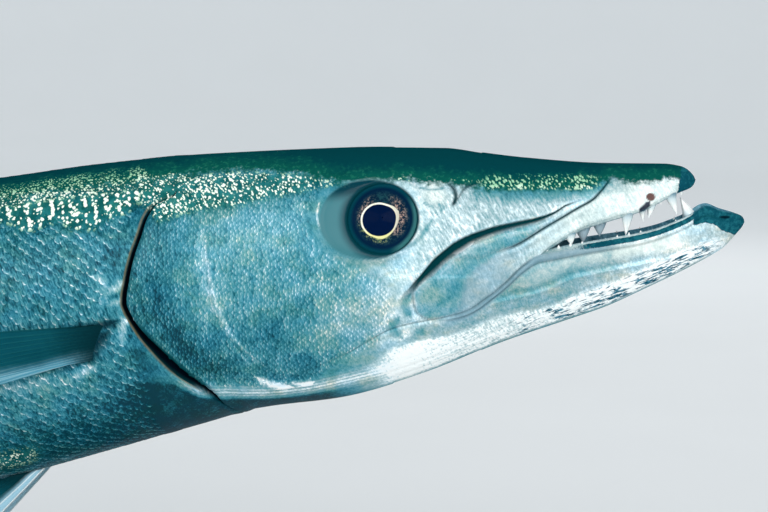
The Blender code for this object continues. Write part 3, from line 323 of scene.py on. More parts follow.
def relief(distance, height, across):
    """How far the skin stands out of the plain body at a place. It is negative in a groove."""
    d, h = np.broadcast_arrays(np.asarray(distance, float), np.asarray(height, float))
    made = np.zeros(d.shape)

    # The deep groove over the bone plate, and the plate itself
    top, bottom = groove_top(d), groove_bottom(d)
    share = (top - h) / np.maximum(top - bottom, 1e-5)
    made += groove_depth(d) * np.interp(share, (-0.35, 0, 0.14, 0.4, 0.7, 1.0, 1.25),
                                        (0, 0.14, -0.85, -1.0, -0.8, -0.12, 0))
    fold = upper_lip(d)
    low_edge = np.maximum(premaxilla_line(d), fold)
    inside = np.minimum(bottom - h, h - low_edge)
    inside = np.minimum(inside, plate_rear(h) - d)
    made += 0.00055 * ease(inside, -0.0002, 0.0022) * ease(d, 0.074, 0.090)
    behind = (d - plate_rear(h)) * (h < -0.024) * (h > -0.044)
    made -= 0.0006 * hump(behind - 0.0006, 0.0011) * (behind > -0.001) * (d > 0.12) * (d < 0.16)

    # The line of the premaxilla, the rolled lips and the fold behind the mouth's corner
    slope = (premaxilla_line(d + 0.001) - premaxilla_line(d - 0.001)) / 0.002
    away = (h - premaxilla_line(d)) / np.sqrt(1 + slope ** 2)
    made -= 0.0009 * hump(away, 0.0007) * ease(d, 0.0615, 0.066) * ease(d, 0.117, 0.104)
    made += 0.0003 * hump(away + 0.0022, 0.0020) * ease(d, 0.062, 0.070) * ease(d, 0.115, 0.100)
    above = h - fold
    made += (profile(above, (-0.1, 0), (0, -0.1), (0.4, 0.12), (1.3, 0.22), (2.4, 0.12), (3.6, -0.05), (5, 0))
             * ease(d, 0.022, 0.030) * ease(d, 0.096, 0.084))
    below = (lower_lip(d) - h) / np.interp(d, (0, 0.09, 0.135, 0.2), (0.9, 1.05, 0.5, 0.5))
    made += (profile(below, (-0.1, 0), (0, 0), (0.4, 0.5), (1.3, 0.85), (2.3, 0.6), (3.0, -0.2), (3.5, -0.45),
                     (6, 0))
             * np.interp(d, (0, 0.045, 0.075), (0.25, 0.40, 1)) * ease(d, 0.003, 0.012) * ease(d, 0.139, 0.126))
    made -= 0.0006 * hump(above, 0.0010) * ease(d, 0.095, 0.102) * ease(d, 0.225, 0.165)

    # The lower jaw's long groove and the pleats beside the keel
    up = h - dentary_line(d)
    made += (profile(up, (-1.6, 0), (-0.3, 0.4), (0.3, -0.4), (1.6, -0.8), (4.5, -0.3), (7, 0))
             * ease(d, 0.024, 0.050) * ease(d, 0.126, 0.112))
    keel = h - bottom_line(d)
    for line, depth in ((0.0035, 0.00030), (0.0068, 0.00028), (0.0105, 0.00018)):
        made -= depth * hump(keel - line, 0.0009) * ease(d, 0.012, 0.03) * ease(d, 0.172, 0.150)

    # The covers' thin lower band with its rays, the cheek's rear ridge and both edges of the gill opening
    band = h - gill_band(d)
    made += (profile(band, (-7, 0), (-5, 0.25), (0, 0.45), (4, 0.3), (4.6, -0.2), (6, 0))
             * ease(d, 0.165, 0.19) * (d < 0.262))
    rays = np.sin(band / 0.0021 * 2 * math.pi) * hump(band, 0.0065)
    made += 0.00013 * rays * ease(d, 0.15, 0.18) * ease(d, 0.256, 0.245)
    ridge = d - cheek_ridge(h) - 0.001
    made += (profile(ridge, (-6, 0), (-1.6, 0.3), (0, 0.6), (1.1, 0.15), (2.4, -0.3), (7, 0))
             * ease(h, -0.074, -0.060) * ease(h, 0.006, -0.012))
    cover_edge = gill_shoulder(h) - gill_slit(h) - d
    made += (profile(cover_edge, (-9, 0), (-0.01, 0), (0, 0.1), (0.6, 0.4), (2.2, 0.35), (5.5, -0.15), (10, 0))
             * ease(h, 0.020, 0.010))
    shoulder = d - gill_shoulder(h)
    made += profile(shoulder, (-0.01, 0), (0, 0.05), (0.7, 0.45), (2.4, 0.4), (6, 0)) * ease(h, 0.020, 0.010)

    # Nostril, the rough pad before the eye, the brow and the skull's ridges
    made -= 0.0020 * hump(d - nostril_line(h), 0.0013) * ease(h, 0.0072, 0.0095) * ease(h, 0.0185, 0.0155)
    made -= 0.0009 * hump(h - nostril_branch(d), 0.0011) * ease(d, 0.119, 0.123) * ease(d, 0.1315, 0.129)
    made += 0.0006 * hump(np.hypot((d - 0.139) / 0.008, (h - 0.0125) / 0.006), 1)
    oval = lid_share(d, h)
    made += 0.0007 * hump(oval - 1.17, 0.15) * ease(h, 0.006, 0.014) * ease(h, 0.030, 0.022)
    top_side = ease(h, 0.022, 0.027)
    ridges = hump(np.abs(across) - 0.0085, 0.0030) + 0.7 * hump(np.abs(across), 0.0022)
    made += 0.00040 * ridges * top_side * ease(d, 0.085, 0.130) * ease(d, 0.245, 0.195)
    furrow = hump(np.abs(across) - 0.0045, 0.0020)
    made -= 0.00035 * furrow * top_side * ease(d, 0.03, 0.05) * ease(d, 0.120, 0.100)

    # The skin makes room for the scales
    made -= SCALE_DEPTH * scaled(d, h)
    return made


def scaled(distance, height):
    """1 where scales lie, 0 on bare skin."""
    behind_face = ease(distance - face_edge(height), -0.002, 0.003)
    clear = ease(lid_share(distance, height), 1.10, 1.22)
    under_back = ease(back_edge(distance) + 0.0035 - height, -0.002, 0.001)
    nape = ease(distance, 0.262, 0.285)
    over_band = ease(height - gill_band(distance), 0.001, 0.004)
    covers = ease(distance, 0.262, 0.268)
    return behind_face * clear * np.maximum(under_back, nape) * np.maximum(over_band, covers)


face_edge = curve((-80, 205), (-66, 186), (-50, 160), (-40, 157), (-28, 160), (-20, 170), (0, 190),
                  (14, 184), (22, 176), (34, 185))


# Markings, painted highlights and painted shade, which the skin and the scales share

def strokes(distance, height, *paths):
    """The strongest of several brush strokes at a place. A path is (strength, half width, (a, h), (a, h), ...)."""
    best = np.zeros(distance.shape)
    for strength, half, *points in paths:
        a, h = (np.array(column, float) * MM for column in zip(*points))
        half = half * MM
        near = ((distance > a.min() - half) & (distance < a.max() + half)
                & (height > h.min() - half) & (height < h.max() + half))
        if not near.any():
            continue
        knots = np.linspace(0, 1, len(a))
        fine = np.linspace(0, 1, 8 * len(a))
        a, h = smooth_through(knots, a, fine), smooth_through(knots, h, fine)
        at, up = distance[near][:, None], height[near][:, None]
        run, rise = np.diff(a), np.diff(h)
        t = np.clip(((at - a[:-1]) * run + (up - h[:-1]) * rise) / (run ** 2 + rise ** 2 + 1e-12), 0, 1)
        away = np.hypot(at - a[:-1] - t * run, up - h[:-1] - t * rise)
        nearest = away.argmin(axis=1)
        along = (nearest + t[np.arange(len(nearest)), nearest]) / len(run)
        taper = np.clip(np.minimum(along, 1 - along) * 6, 0.25, 1)
        value = strength * hump(away.min(axis=1) / (half * taper), 1)
        best[near] = np.maximum(best[near], value)
    return best


def smooth_through(knots, values, at):
    """Values of a smooth curve through a few knots."""
    return curve(*zip(knots / MM, values / MM))(at) if len(knots) > 2 else np.interp(at, knots, values)


light_along = curve((0, 780), (25, 880), (45, 940), (60, 900), (100, 800), (118, 820), (146, 880), (158, 840),
                    (168, 690), (180, 560), (195, 500), (215, 500), (240, 480), (252, 400), (262, 250),
                    (271, 220), (275, 270), (285, 330), (330, 340), (400, 380), (935, 400))


def marks(distance, height, side=-1):
    """Every painted marking, painted highlight and painted shade at a place, as a share from 0 to 1, and how far it is
    under the dark back.
    """
    d, h = np.broadcast_arrays(np.asarray(distance, float), np.asarray(height, float))
    under = back_edge(d) - h
    keel = h - bottom_line(d)
    found = {"under_back": np.clip(under / 0.010, -1, 3)}

    # How light the skin is, with painted highlights and painted shade among its own tones
    light = light_along(d) - 0.035 * ease(d, 0.262, 0.245)
    below_lip = lower_lip(d) - h
    jaw = ease(below_lip, 0.001, 0.004) * ease(d, JAW_REAR, JAW_REAR - 0.010)
    light -= 0.14 * jaw * ease(d, 0.040, 0.070)
    # Painted shade in the lower jaw's long groove
    jaw_groove_shade = hump((h - dentary_line(d)) - 0.0022, 0.0030) * ease(d, 0.03, 0.06) * ease(d, 0.126, 0.110)
    light -= 0.08 * jaw_groove_shade
    on_plate = np.minimum(groove_bottom(d) - h, plate_rear(h) - d)
    ahead = ease(np.minimum(on_plate, h - np.maximum(premaxilla_line(d), upper_lip(d))), 0, 0.0012)
    behind = ease(np.minimum(on_plate, h - upper_lip(d)), 0, 0.0012) * ease(d - inner_edge(h), -0.004, 0.003)
    on_plate = np.maximum(ahead, behind) * ease(d, 0.080, 0.112)
    light -= 0.27 * on_plate
    bright = (ease(bright_top(d) - h, -0.001, 0.0025) * ease(keel, 0.0, 0.002) * ease(d, 0.006, 0.022)
              * ease(d, 0.176, 0.150))
    light += (0.34 - 0.13 * ease(np.sin(keel / 0.0013 * 2 * math.pi), 0.2, 0.9) * ease(d, 0.09, 0.13)) * bright
    over_band = h - gill_band(d)
    band = hump(over_band + 0.0008, 0.0055) * ease(d, 0.150, 0.172) * ease(d, 0.262, 0.245)
    light += (0.30 + 0.16 * np.sin(over_band / 0.0015 * 2 * math.pi)) * band
    light -= 0.44 * ease(under, 0.0090, 0.0020) * ease(d, 0.045, 0.070) * ease(d, 0.128, 0.112)
    light -= 0.20 * ease(h, -0.034, -0.056) * ease(d, 0.178, 0.200) * ease(d, 0.262, 0.250) * (1 - band)
    # Painted shade on the trunk's underside near the keel
    light -= 0.26 * ease(keel, 0.036, 0.010) * ease(d, 0.262, 0.270) * ease(d, 0.42, 0.36)
    # Lighter strokes. Those along the cheek's rear ridge, on the lid's rear rim, the cream highlight on the plate below
    # the groove, on the body behind the gill opening and along the body below the pectoral fin are painted highlights
    light += strokes(
        d, h,
        (0.34, 1.3, (240, 0), (240.2, -11.9), (238.7, -20.6), (236.9, -29.5), (233.5, -39.3), (230.2, -47.4),
         (225.3, -54.4), (219.2, -61.5), (213, -66.4)),
        (0.24, 1.0, (240.9, -17), (237.8, -33.9), (232.8, -45.1), (227.2, -56.7), (221.6, -63.9)),
        (0.12, 5.0, (242, 0), (241, -20), (237, -34), (230, -50)),
        (0.40, 3.4, (291, -23.5), (287.5, -25.2), (282, -29.6), (277.7, -27.4), (275.2, -25.0)),
        (0.36, 2.8, (275, -33), (281.2, -35.4), (288, -33)),
        (0.55, 3.4, (274.3, -42), (276.9, -45.8), (277.2, -54)),
        (0.36, 3.6, (289.7, -63.5), (293, -66), (300, -69.5)),
        (0.12, 9.0, (172, -35), (186, -48), (200, -58)),
        (0.40, 2.2, (122, -8.4), (127, -11), (131, -13.6)),
        (0.16, 2.6, (98, -3.8), (112, -6.4), (124, -11.5), (136, -22)),
        (0.55, 0.8, (190.6, 8.6), (191.3, 3.5), (190.4, 0), (188.4, -3)),
        (0.70, 2.6, (220, -70), (213, -73.6), (204, -75)),
        (0.50, 1.9, (205, -72.6), (199, -73.4), (194, -72.4)),
        (0.22, 5.0, (300, -70), (318, -73), (336, -76)),
    )
    # Darker strokes. The thin lines and the small patch on the pad before the eye are painted shade in its folds
    light -= strokes(
        d, h,
        (0.16, 9.0, (262, -30), (256, -46), (245, -60), (228, -68)),
        (0.34, 3.0, (150, -32), (152.5, -37), (150, -42)),
        (0.34, 3.2, (155, -42), (158, -47), (154, -52)),
        (0.20, 3.6, (144, -47), (149, -52), (158, -60)),
        (0.26, 1.6, (156, -13), (146.5, -7.4), (140.5, 1.4)),
        (0.30, 0.9, (147, 15.4), (140, 14.4), (134.6, 15.6)),
        (0.34, 0.9, (145, 9.0), (141, 7.0), (138, 3.0)),
        (0.30, 2.2, (138, 8.0), (135.4, 5.6)),
        (0.14, 4.5, (120, -24), (130, -30), (138, -37)),
        (0.10, 6.0, (190, -30), (205, -42), (215, -54)),
    )
    light += 0.34 * ease(keel, 0.008, -0.001) * ease(d, 0.28, 0.36)
    light -= 0.34 * ease(over_band, -0.0030, -0.0065) * ease(d, 0.165, 0.195) * ease(d, 0.290, 0.262)
    # Painted shade along the lower jaw's underside, below its white band
    light -= 0.26 * ease(keel, 0.0026, 0.0004) * ease(d, 0.012, 0.030) * ease(d, 0.200, 0.160)
    found["light"] = np.clip(light, 0, 1.2)

    # Warm cream on the upper lip, the pad before the eye and the lower jaw's middle
    lip_band = ease(d, 0.104, 0.075) * ease(premaxilla_line(d) - h, -0.001, 0.001) * (h > lower_lip(d) - 0.001)
    pad = hump(np.hypot((d - 0.140) / 0.0105, (h - 0.0115) / 0.0085), 1)
    middle = hump((h - dentary_line(d)) - 0.007, 0.006) * ease(d, 0.02, 0.04) * ease(d, 0.11, 0.09)
    found["cream"] = np.clip(0.6 * lip_band * ease(under, 0, 0.002) + 0.9 * pad + 0.85 * middle + 0.2 * bright, 0, 1)

    # Painted glints of light under the dark back, and the fine bristly streaks of the snout
    first = np.interp(d, (0.180, 0.245, 0.256, 0.275), (0.001, 0.002, -0.001, -0.0055))
    found["glint"] = (ease(under, first - 0.0020, first + 0.0025) * ease(h - glint_low(d), -0.0025, 0.004)
                      * glint_along(d))
    on_snout = (ease(d, 0.062, 0.074) * ease(d, 0.124, 0.112) * ease(h, 0.0130, 0.0160) * ease(h, 0.0228, 0.0190))
    by_belly = hump(keel - 0.011, 0.008) * ease(d, 0.314, 0.328) * ease(d, 0.60, 0.40)
    by_eye = strokes(d, h, (1.0, 1.3, (150.5, 18.2), (154, 19.4), (158, 19)), (0.8, 1.0, (118, 18), (126, 18.6), (134, 19.6)))
    found["glint"] = np.max([found["glint"], 0.9 * on_snout, 0.75 * by_belly, by_eye], axis=0)
    found["bristle"] = (ease(under, 0.002, 0.006) * ease(h - groove_top(d), 0, 0.002) * ease(d, 0.066, 0.080)
                        * ease(d, 0.158, 0.138))
    found["bristle"] = np.maximum(found["bristle"], 0.4 * lip_band)
    found["bristle"] = np.maximum(found["bristle"], bright)
    found["dash"] = bright * (0.20 + 0.80 * ease(keel, 0.016, 0.004)) * ease(d, 0.135, 0.045)

    # Deep shade in grooves and openings, painted as well as shaped
    share = (groove_top(d) - h) / np.maximum(groove_top(d) - groove_bottom(d), 1e-5)
    groove = (np.interp(share, (-0.10, 0.08, 0.68, 1.00, 1.20), (0, 1, 1, 0.5, 0))
              * ease(d, 0.075, 0.082) * ease(d, 0.156, 0.146))
    slope = (premaxilla_line(d + 0.001) - premaxilla_line(d - 0.001)) / 0.002
    away = (h - premaxilla_line(d)) / np.sqrt(1 + slope ** 2)
    seam = hump(away, 0.0008) * ease(d, 0.060, 0.064) * ease(d, 0.115, 0.102)
    nostril = hump(d - nostril_line(h), 0.0014) * ease(h, 0.0068, 0.0085) * ease(h, 0.019, 0.016)
    branch = 0.7 * hump(h - nostril_branch(d), 0.0012) * ease(d, 0.118, 0.122) * ease(d, 0.132, 0.130)
    fold = 0.55 * hump(h - upper_lip(d), 0.0007) * ease(d, 0.094, 0.100) * ease(d, 0.200, 0.150)
    roll = np.interp(d, (0, 0.09, 0.135), (0.0031, 0.0036, 0.0018))
    under_lip = 0.45 * hump(below_lip - roll, 0.0009) * ease(d, 0.004, 0.02) * ease(d, 0.138, 0.126)
    rear = (0.6 * hump(d - plate_rear(h) - 0.0004, 0.0009) * ease(h, -0.045, -0.043)
            * ease(h, -0.022, -0.03) * (d > 0.13) * (d < 0.156))
    from_eye = np.hypot(d - EYE_DISTANCE, h - EYE_HEIGHT)
    round_eye = 0.75 * hump(from_eye - 0.0152, 0.0016)
    shoulder = d - gill_shoulder(h)
    cover = gill_shoulder(h) - gill_slit(h) - d
    by_slit = ease(cover, 0.0034, 0.0002) * (shoulder < 0) * ease(h, 0.010, 0.002) * (0.30 + 0.70 * ease(h, -0.035, -0.052))
    by_slit = by_slit * ease(h, -0.078, -0.072)
    found["dark"] = np.max([groove, seam, nostril, branch, fold, under_lip, rear, round_eye, by_slit], axis=0)
    found["gold"] = hump(shoulder - 0.0002, 0.0007) * (shoulder > -0.0003) * ease(h, 0.012, 0.006)
    found["gold"] = found["gold"] * ease(h, -0.080, -0.073)

    # The jaws' dark tips, the blue-grey lower lip, the lids, and painted shade round the pectoral fin's base
    on_lip = (ease(below_lip, -0.0016, -0.0008) * ease(below_lip, 0.0018, 0.0010) * ease(d, 0.020, 0.025)
              * ease(d, 0.092, 0.062))
    lower_tip = ease(h - dark_tip(d), -0.0012, 0.0012) * ease(d, 0.0268, 0.0238)
    upper_tip = ease(d - 0.18 * (0.0230 - h), 0.0325, 0.0290) * (h > upper_lip(d) - 0.001) * (h > 0.009)
    found["tip"] = np.clip(np.max([lower_tip, upper_tip, 0.85 * on_lip], axis=0), 0, 1)
    lip = (ease(below_lip, -0.0006, 0.0003) * ease(below_lip, 0.0042, 0.0028) * ease(d, 0.048, 0.072)
           * ease(d, 0.140, 0.128))
    grey_skin = (ease(d - inner_edge(h), 0.0012, -0.0012) * ease(premaxilla_line(d) - h, -0.001, 0.003)
                 * ease(d, 0.096, 0.112) * ease(h - upper_lip(d), -0.0005, 0.0005))
    found["grey"] = np.clip(np.maximum(lip, 0.62 * grey_skin), 0, 1)
    oval = lid_share(d, h)
    found["lid"] = ease(oval, 1.04, 0.97)
    found["lid_dark"] = np.maximum(ease(from_eye, 0.0205, 0.0158), ease(h, 0.0080, 0.0145))
    # Painted shade on the body round the pectoral fin's base
    found["shade"] = strokes(
        d, h,
        (1.0, 3.6, (278.4, -43.5), (284, -45.0), (292, -46.5), (302, -48.5)),
        (0.95, 6.4, (283, -48), (288, -53), (292, -59), (296, -62)),
        (0.35, 2.2, (296, -62), (302, -65), (310, -66)),
    )
    found["sore"] = np.zeros(d.shape)
    found["bruise"] = np.zeros(d.shape)
    if side < 0:
        found["sore"] = ease(np.hypot((d - 0.0443) / 0.0019, (h - 0.0112) / 0.0017), 1.2, 0.9)
        found["bruise"] = strokes(d, h, (1.6, 2.0, (44.6, 9.2), (46.0, 7.4), (47.8, 5.6), (49.0, 4.6))).clip(0, 1)

    # Dark bars on the upper flank and a few inky blotches low on the rear flank
    level = upper_level(d)
    wave = np.sin((d - 0.35 * (h - level)) / 0.0265 * 2 * math.pi + 0.8 * np.sin(d / 0.071))
    upper_half = ease(h - level, 0.002, 0.022)
    found["bar"] = ease(wave, -0.2, 0.7) * upper_half * ease(d, 0.30, 0.42) * ease(d, 0.925, 0.86)
    blotch = np.zeros(d.shape)
    for a, z, long, high in BLOTCHES[side]:
        reach = np.hypot((d - a * MM) / (long * MM), (h - z * MM) / (high * MM))
        blotch = np.maximum(blotch, ease(reach, 1.15, 0.7))
    found["blotch"] = blotch
    return found


JAW_REAR = 0.150
bright_top = curve((0, -3), (22, -9.4), (44, -20), (66, -28.4), (77, -32), (89, -37.5), (108, -41), (120, -45),
                   (132, -50), (146, -52.5), (157, -56), (175, -66))
dark_tip = curve((0, -9), (5, -7.2), (7.8, -5.6), (12.4, -3.9), (15.2, -1.6), (20, -0.5), (24, -1.3), (28, -3.6))
inner_edge = curve((-41, 131), (-37, 128.8), (-33, 127.6), (-26.4, 126.4), (-19.5, 120.3), (-13.3, 112))
BLOTCHES = {
    -1: ((11.3, 2.1, 2.5, 0.8), (585, -122, 9, 6), (628, -131, 6, 5), (668, -116, 8, 7), (716, -128, 7, 5), (752, -119, 9, 6),
         (806, -127, 6, 6), (846, -121, 5, 4)),
    1: ((11.8, 1.9, 2.1, 0.7), (566, -128, 7, 6), (612, -117, 9, 7), (655, -130, 6, 4), (702, -121, 8, 6), (741, -131, 5, 5),
        (788, -118, 8, 6), (858, -126, 5, 5)),
}
MARK_NAMES = ("under_back", "light", "cream", "glint", "bristle", "dash", "dark", "gold", "tip", "grey", "lid",
              "lid_dark", "shade", "sore", "bruise", "bar", "blotch")


# Mesh pieces

def mesh_piece(name, points, faces, look, values=None, bake=None, rides="root", flat=False):
    """A new piece from arrays. faces is a list of arrays with three or four columns, values are named
    numbers at the points, and bake is a list of (corners, 2) arrays, one for each array of faces."""
    mesh = bpy.data.meshes.new(name)
    corners = np.concatenate([f.ravel() for f in faces]).astype(np.int32)
    sizes = np.concatenate([np.full(len(f), f.shape[1]) for f in faces])
    starts = np.concatenate([[0], np.cumsum(sizes)[:-1]]).astype(np.int32)
    mesh.vertices.add(len(points))
    mesh.vertices.foreach_set("co", np.asarray(points, np.float32).ravel())
    mesh.loops.add(len(corners))
    mesh.loops.foreach_set("vertex_index", corners)
    mesh.polygons.add(len(starts))
    mesh.polygons.foreach_set("loop_start", starts)
    mesh.update(calc_edges=True)
    for title, value in (values or {}).items():
        stored = mesh.attributes.new(title, "FLOAT", "POINT")
        stored.data.foreach_set("value", np.asarray(value, np.float32).ravel())
    if bake is not None:
        layer = mesh.uv_layers.new(name="OFBake")
        layer.data.foreach_set("uv", np.concatenate(bake).astype(np.float32).ravel())
    if not flat:
        mesh.shade_smooth()
    mesh.materials.append(look)
    mesh.validate()
    made = bpy.data.objects.new(name, mesh)
    bpy.context.scene.collection.objects.link(made)
    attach(made, rides)
    return made


def grid_faces(numbers, closed=False):
    """Four-sided faces over a grid of point numbers."""
    across = np.roll(numbers, -1, axis=1) if closed else numbers[:, 1:]
    here = numbers if closed else numbers[:, :-1]
    return np.stack([here[:-1], here[1:], across[1:], across[:-1]], axis=-1).reshape(-1, 4)


def grid_normals(points):
    """Unit normals of a grid of points."""
    along = np.gradient(points, axis=0)
    across = np.gradient(points, axis=1)
    found = np.cross(along, across)
    return found / np.maximum(np.linalg.norm(found, axis=-1, keepdims=True), 1e-12)


# The skin

def even_turns(distance, start, end, count, part):
    """Turns from start to end that part a section into equal lengths."""
    fine = np.linspace(start, end, 900)
    across, height = section_point(distance, fine, part)
    run = np.concatenate([[0], np.cumsum(np.hypot(np.diff(across), np.diff(height)))])
    return np.interp(np.linspace(0, run[-1], count), run, fine)


def split_turn(distance):
    """The turn at the lip, at the fold behind it, and on the trunk at one even place."""
    at_fold = float(angle_at(distance, upper_lip(distance)))
    return at_fold + (1.95 - at_fold) * float(ease(distance, 0.262, 0.36))


def stations():
    """Every station from the snout to the tail: its lean, a distance to read it by, and its depth below the skin."""
    found = []

    def leaning(lean, reference, depth=None):
        found.append((lean, reference, depth))

    for d in np.concatenate([[0.0243, 0.0245, 0.0248, 0.0252, 0.0257, 0.0262],
                             np.arange(0.0268, CHEEK_START, HEAD_STEP)]):
        leaning(lambda h, d=d: d + 0 * h, d)
    reach = 0.045
    count = int(reach / CHEEK_STEP)
    for k in range(count):
        share = k / count
        leaning(lambda h, s=share: CHEEK_START + s * (cheek_ridge(h) - CHEEK_START), CHEEK_START + share * 0.042)
    count = int(0.038 / CHEEK_STEP)
    for k in range(count):
        share = k / count
        leaning(lambda h, s=share: cheek_ridge(h) + s * (gill_shoulder(h) - gill_slit(h) - cheek_ridge(h)),
                0.237 + share * 0.030)
    for share, (back, sunk) in zip(np.linspace(0, 1, len(SLIT_STEPS)), SLIT_STEPS):
        leaning(lambda h, s=share, b=back: gill_shoulder(h) - gill_slit(h) * (1 - s - (b - s) * slit_open(h)),
                0.267 + 0.003 * share, sunk)
    for share in np.linspace(0, 1, 30)[1:-1] ** 1.15:
        leaning(lambda h, s=share: gill_shoulder(h) + s * (SHOULDER_END - gill_shoulder(h)), 0.270 + share * 0.022)
    for d in np.arange(SHOULDER_END, STANDARD_LENGTH + 0.002, BODY_STEP):
        leaning(lambda h, d=d: d + 0 * h, d)
    return found


# Across the gill opening: how far back from the cover's edge, as a share of its width, and how deep
SLIT_STEPS = ((0.0, 0), (0.05, 0.0003), (0.07, 0.0009), (0.03, 0.0016), (-0.12, 0.0022), (-0.25, 0.0034),
              (-0.10, 0.0046), (0.25, 0.0052), (0.60, 0.0050), (0.82, 0.0040), (0.92, 0.0024),
              (0.965, 0.0010), (0.985, 0.0003), (1.0, 0))


def slit_open(height):
    """How open the gill slit is at a height."""
    return ease(height, 0.0150, 0.0100) * (0.12 + 0.88 * ease(height, -0.086, -0.079))


def section(station, turns, part):
    """(distance, half width, height) of one side of a station."""
    lean, reference, depth = station
    distance = np.full(len(turns), float(reference))
    for _ in range(1 if np.ptp(lean(np.array([-0.05, 0.0]))) == 0 else 26):
        across, height = section_point(distance, turns, part)
        distance = 0.5 * distance + 0.5 * lean(height)
    across, height = section_point(distance, turns, part)
    across = with_lids(distance, height, across)
    if depth is None:
        return distance, across, height
    level = upper_level(distance)
    sunk = depth * slit_open(height)
    share = 1 - sunk / np.hypot(across, height - level)
    return distance, across * share, level + (height - level) * share


def mirrored(half, flip=False):
    """A whole station from one side: right lip, over the middle and down to the left lip."""
    return np.concatenate([half[::-1], -half[1:] if flip else half[1:]])


def skin_sheet(part, rows):
    """The outer skin above or below the lips, as arrays over its stations and rows."""
    upper = part == "upper"
    sheets = []
    for station in stations():
        sheets.append(section_row(station, part, rows))
    if not upper:
        front = [section_row((lambda h, d=d: d + 0 * h, d, None), part, rows)
                 for d in np.concatenate([[0.0023, 0.0025, 0.0028, 0.0032, 0.0037], np.arange(0.0042, 0.0242, 0.0005)])]
        sheets = front + sheets
    distance, across, height, sunk = (np.array(column) for column in zip(*sheets))
    return distance, across, height, sunk


def section_row(station, part, rows):
    """One whole station of a sheet, from the right lip round to the left lip."""
    reference = station[1]
    split = split_turn(reference)
    if part == "lower" and reference < CORNER:
        split = float(angle_at(reference, lower_lip(reference), "lower"))
    turns = even_turns(reference, 0.0 if part == "upper" else math.pi, split, rows, part)
    distance, across, height = section(station, turns, part)
    depth = (station[2] or 0.0) * slit_open(height)
    return mirrored(distance), mirrored(-across, flip=True), mirrored(height), mirrored(depth)


def mouth_roof(distance):
    """How far the middle of the palate rises above the lip."""
    open_share = np.clip((THROAT - distance) / 0.020, 0, 1)
    tip_share = np.clip((distance - 0.024) / 0.016, 0, 1)
    return 0.001 * (1 - open_share) + (0.0002 + 0.0076 * tip_share) * open_share


def mouth_floor(distance):
    """How far the middle of the mouth's floor lies above the lower lip, or below it where it is negative."""
    open_share = np.clip((THROAT - distance) / 0.020, 0, 1)
    tip_share = np.clip((distance - 0.006) / 0.020, 0, 1)
    return 0.001 * (1 - open_share) - (0.0006 + 0.0084 * tip_share) * open_share


def mouth_sheet(distance, half_lip, lip, rise, ribs):
    """The roof or the floor of the mouth between the lips, with low folds along it."""
    shares = np.cos(np.linspace(0, math.pi, 2 * MOUTH_ROWS - 1))[None, :]
    depth = np.interp(np.abs(shares), (0, 0.34, 0.60, 0.72, 0.84, 0.90, 1.0), (1.0, 0.94, 0.70, 0.16, -0.20, -0.22, 0.0))
    folds = 0.0003 * np.cos(np.abs(shares) * ribs * math.pi) * (1 - np.abs(shares)) * (np.abs(rise) > 0.002)[:, None]
    across = -half_lip[:, None] * shares
    height = lip[:, None] + rise[:, None] * depth + folds
    return np.broadcast_to(distance[:, None], across.shape), across, height


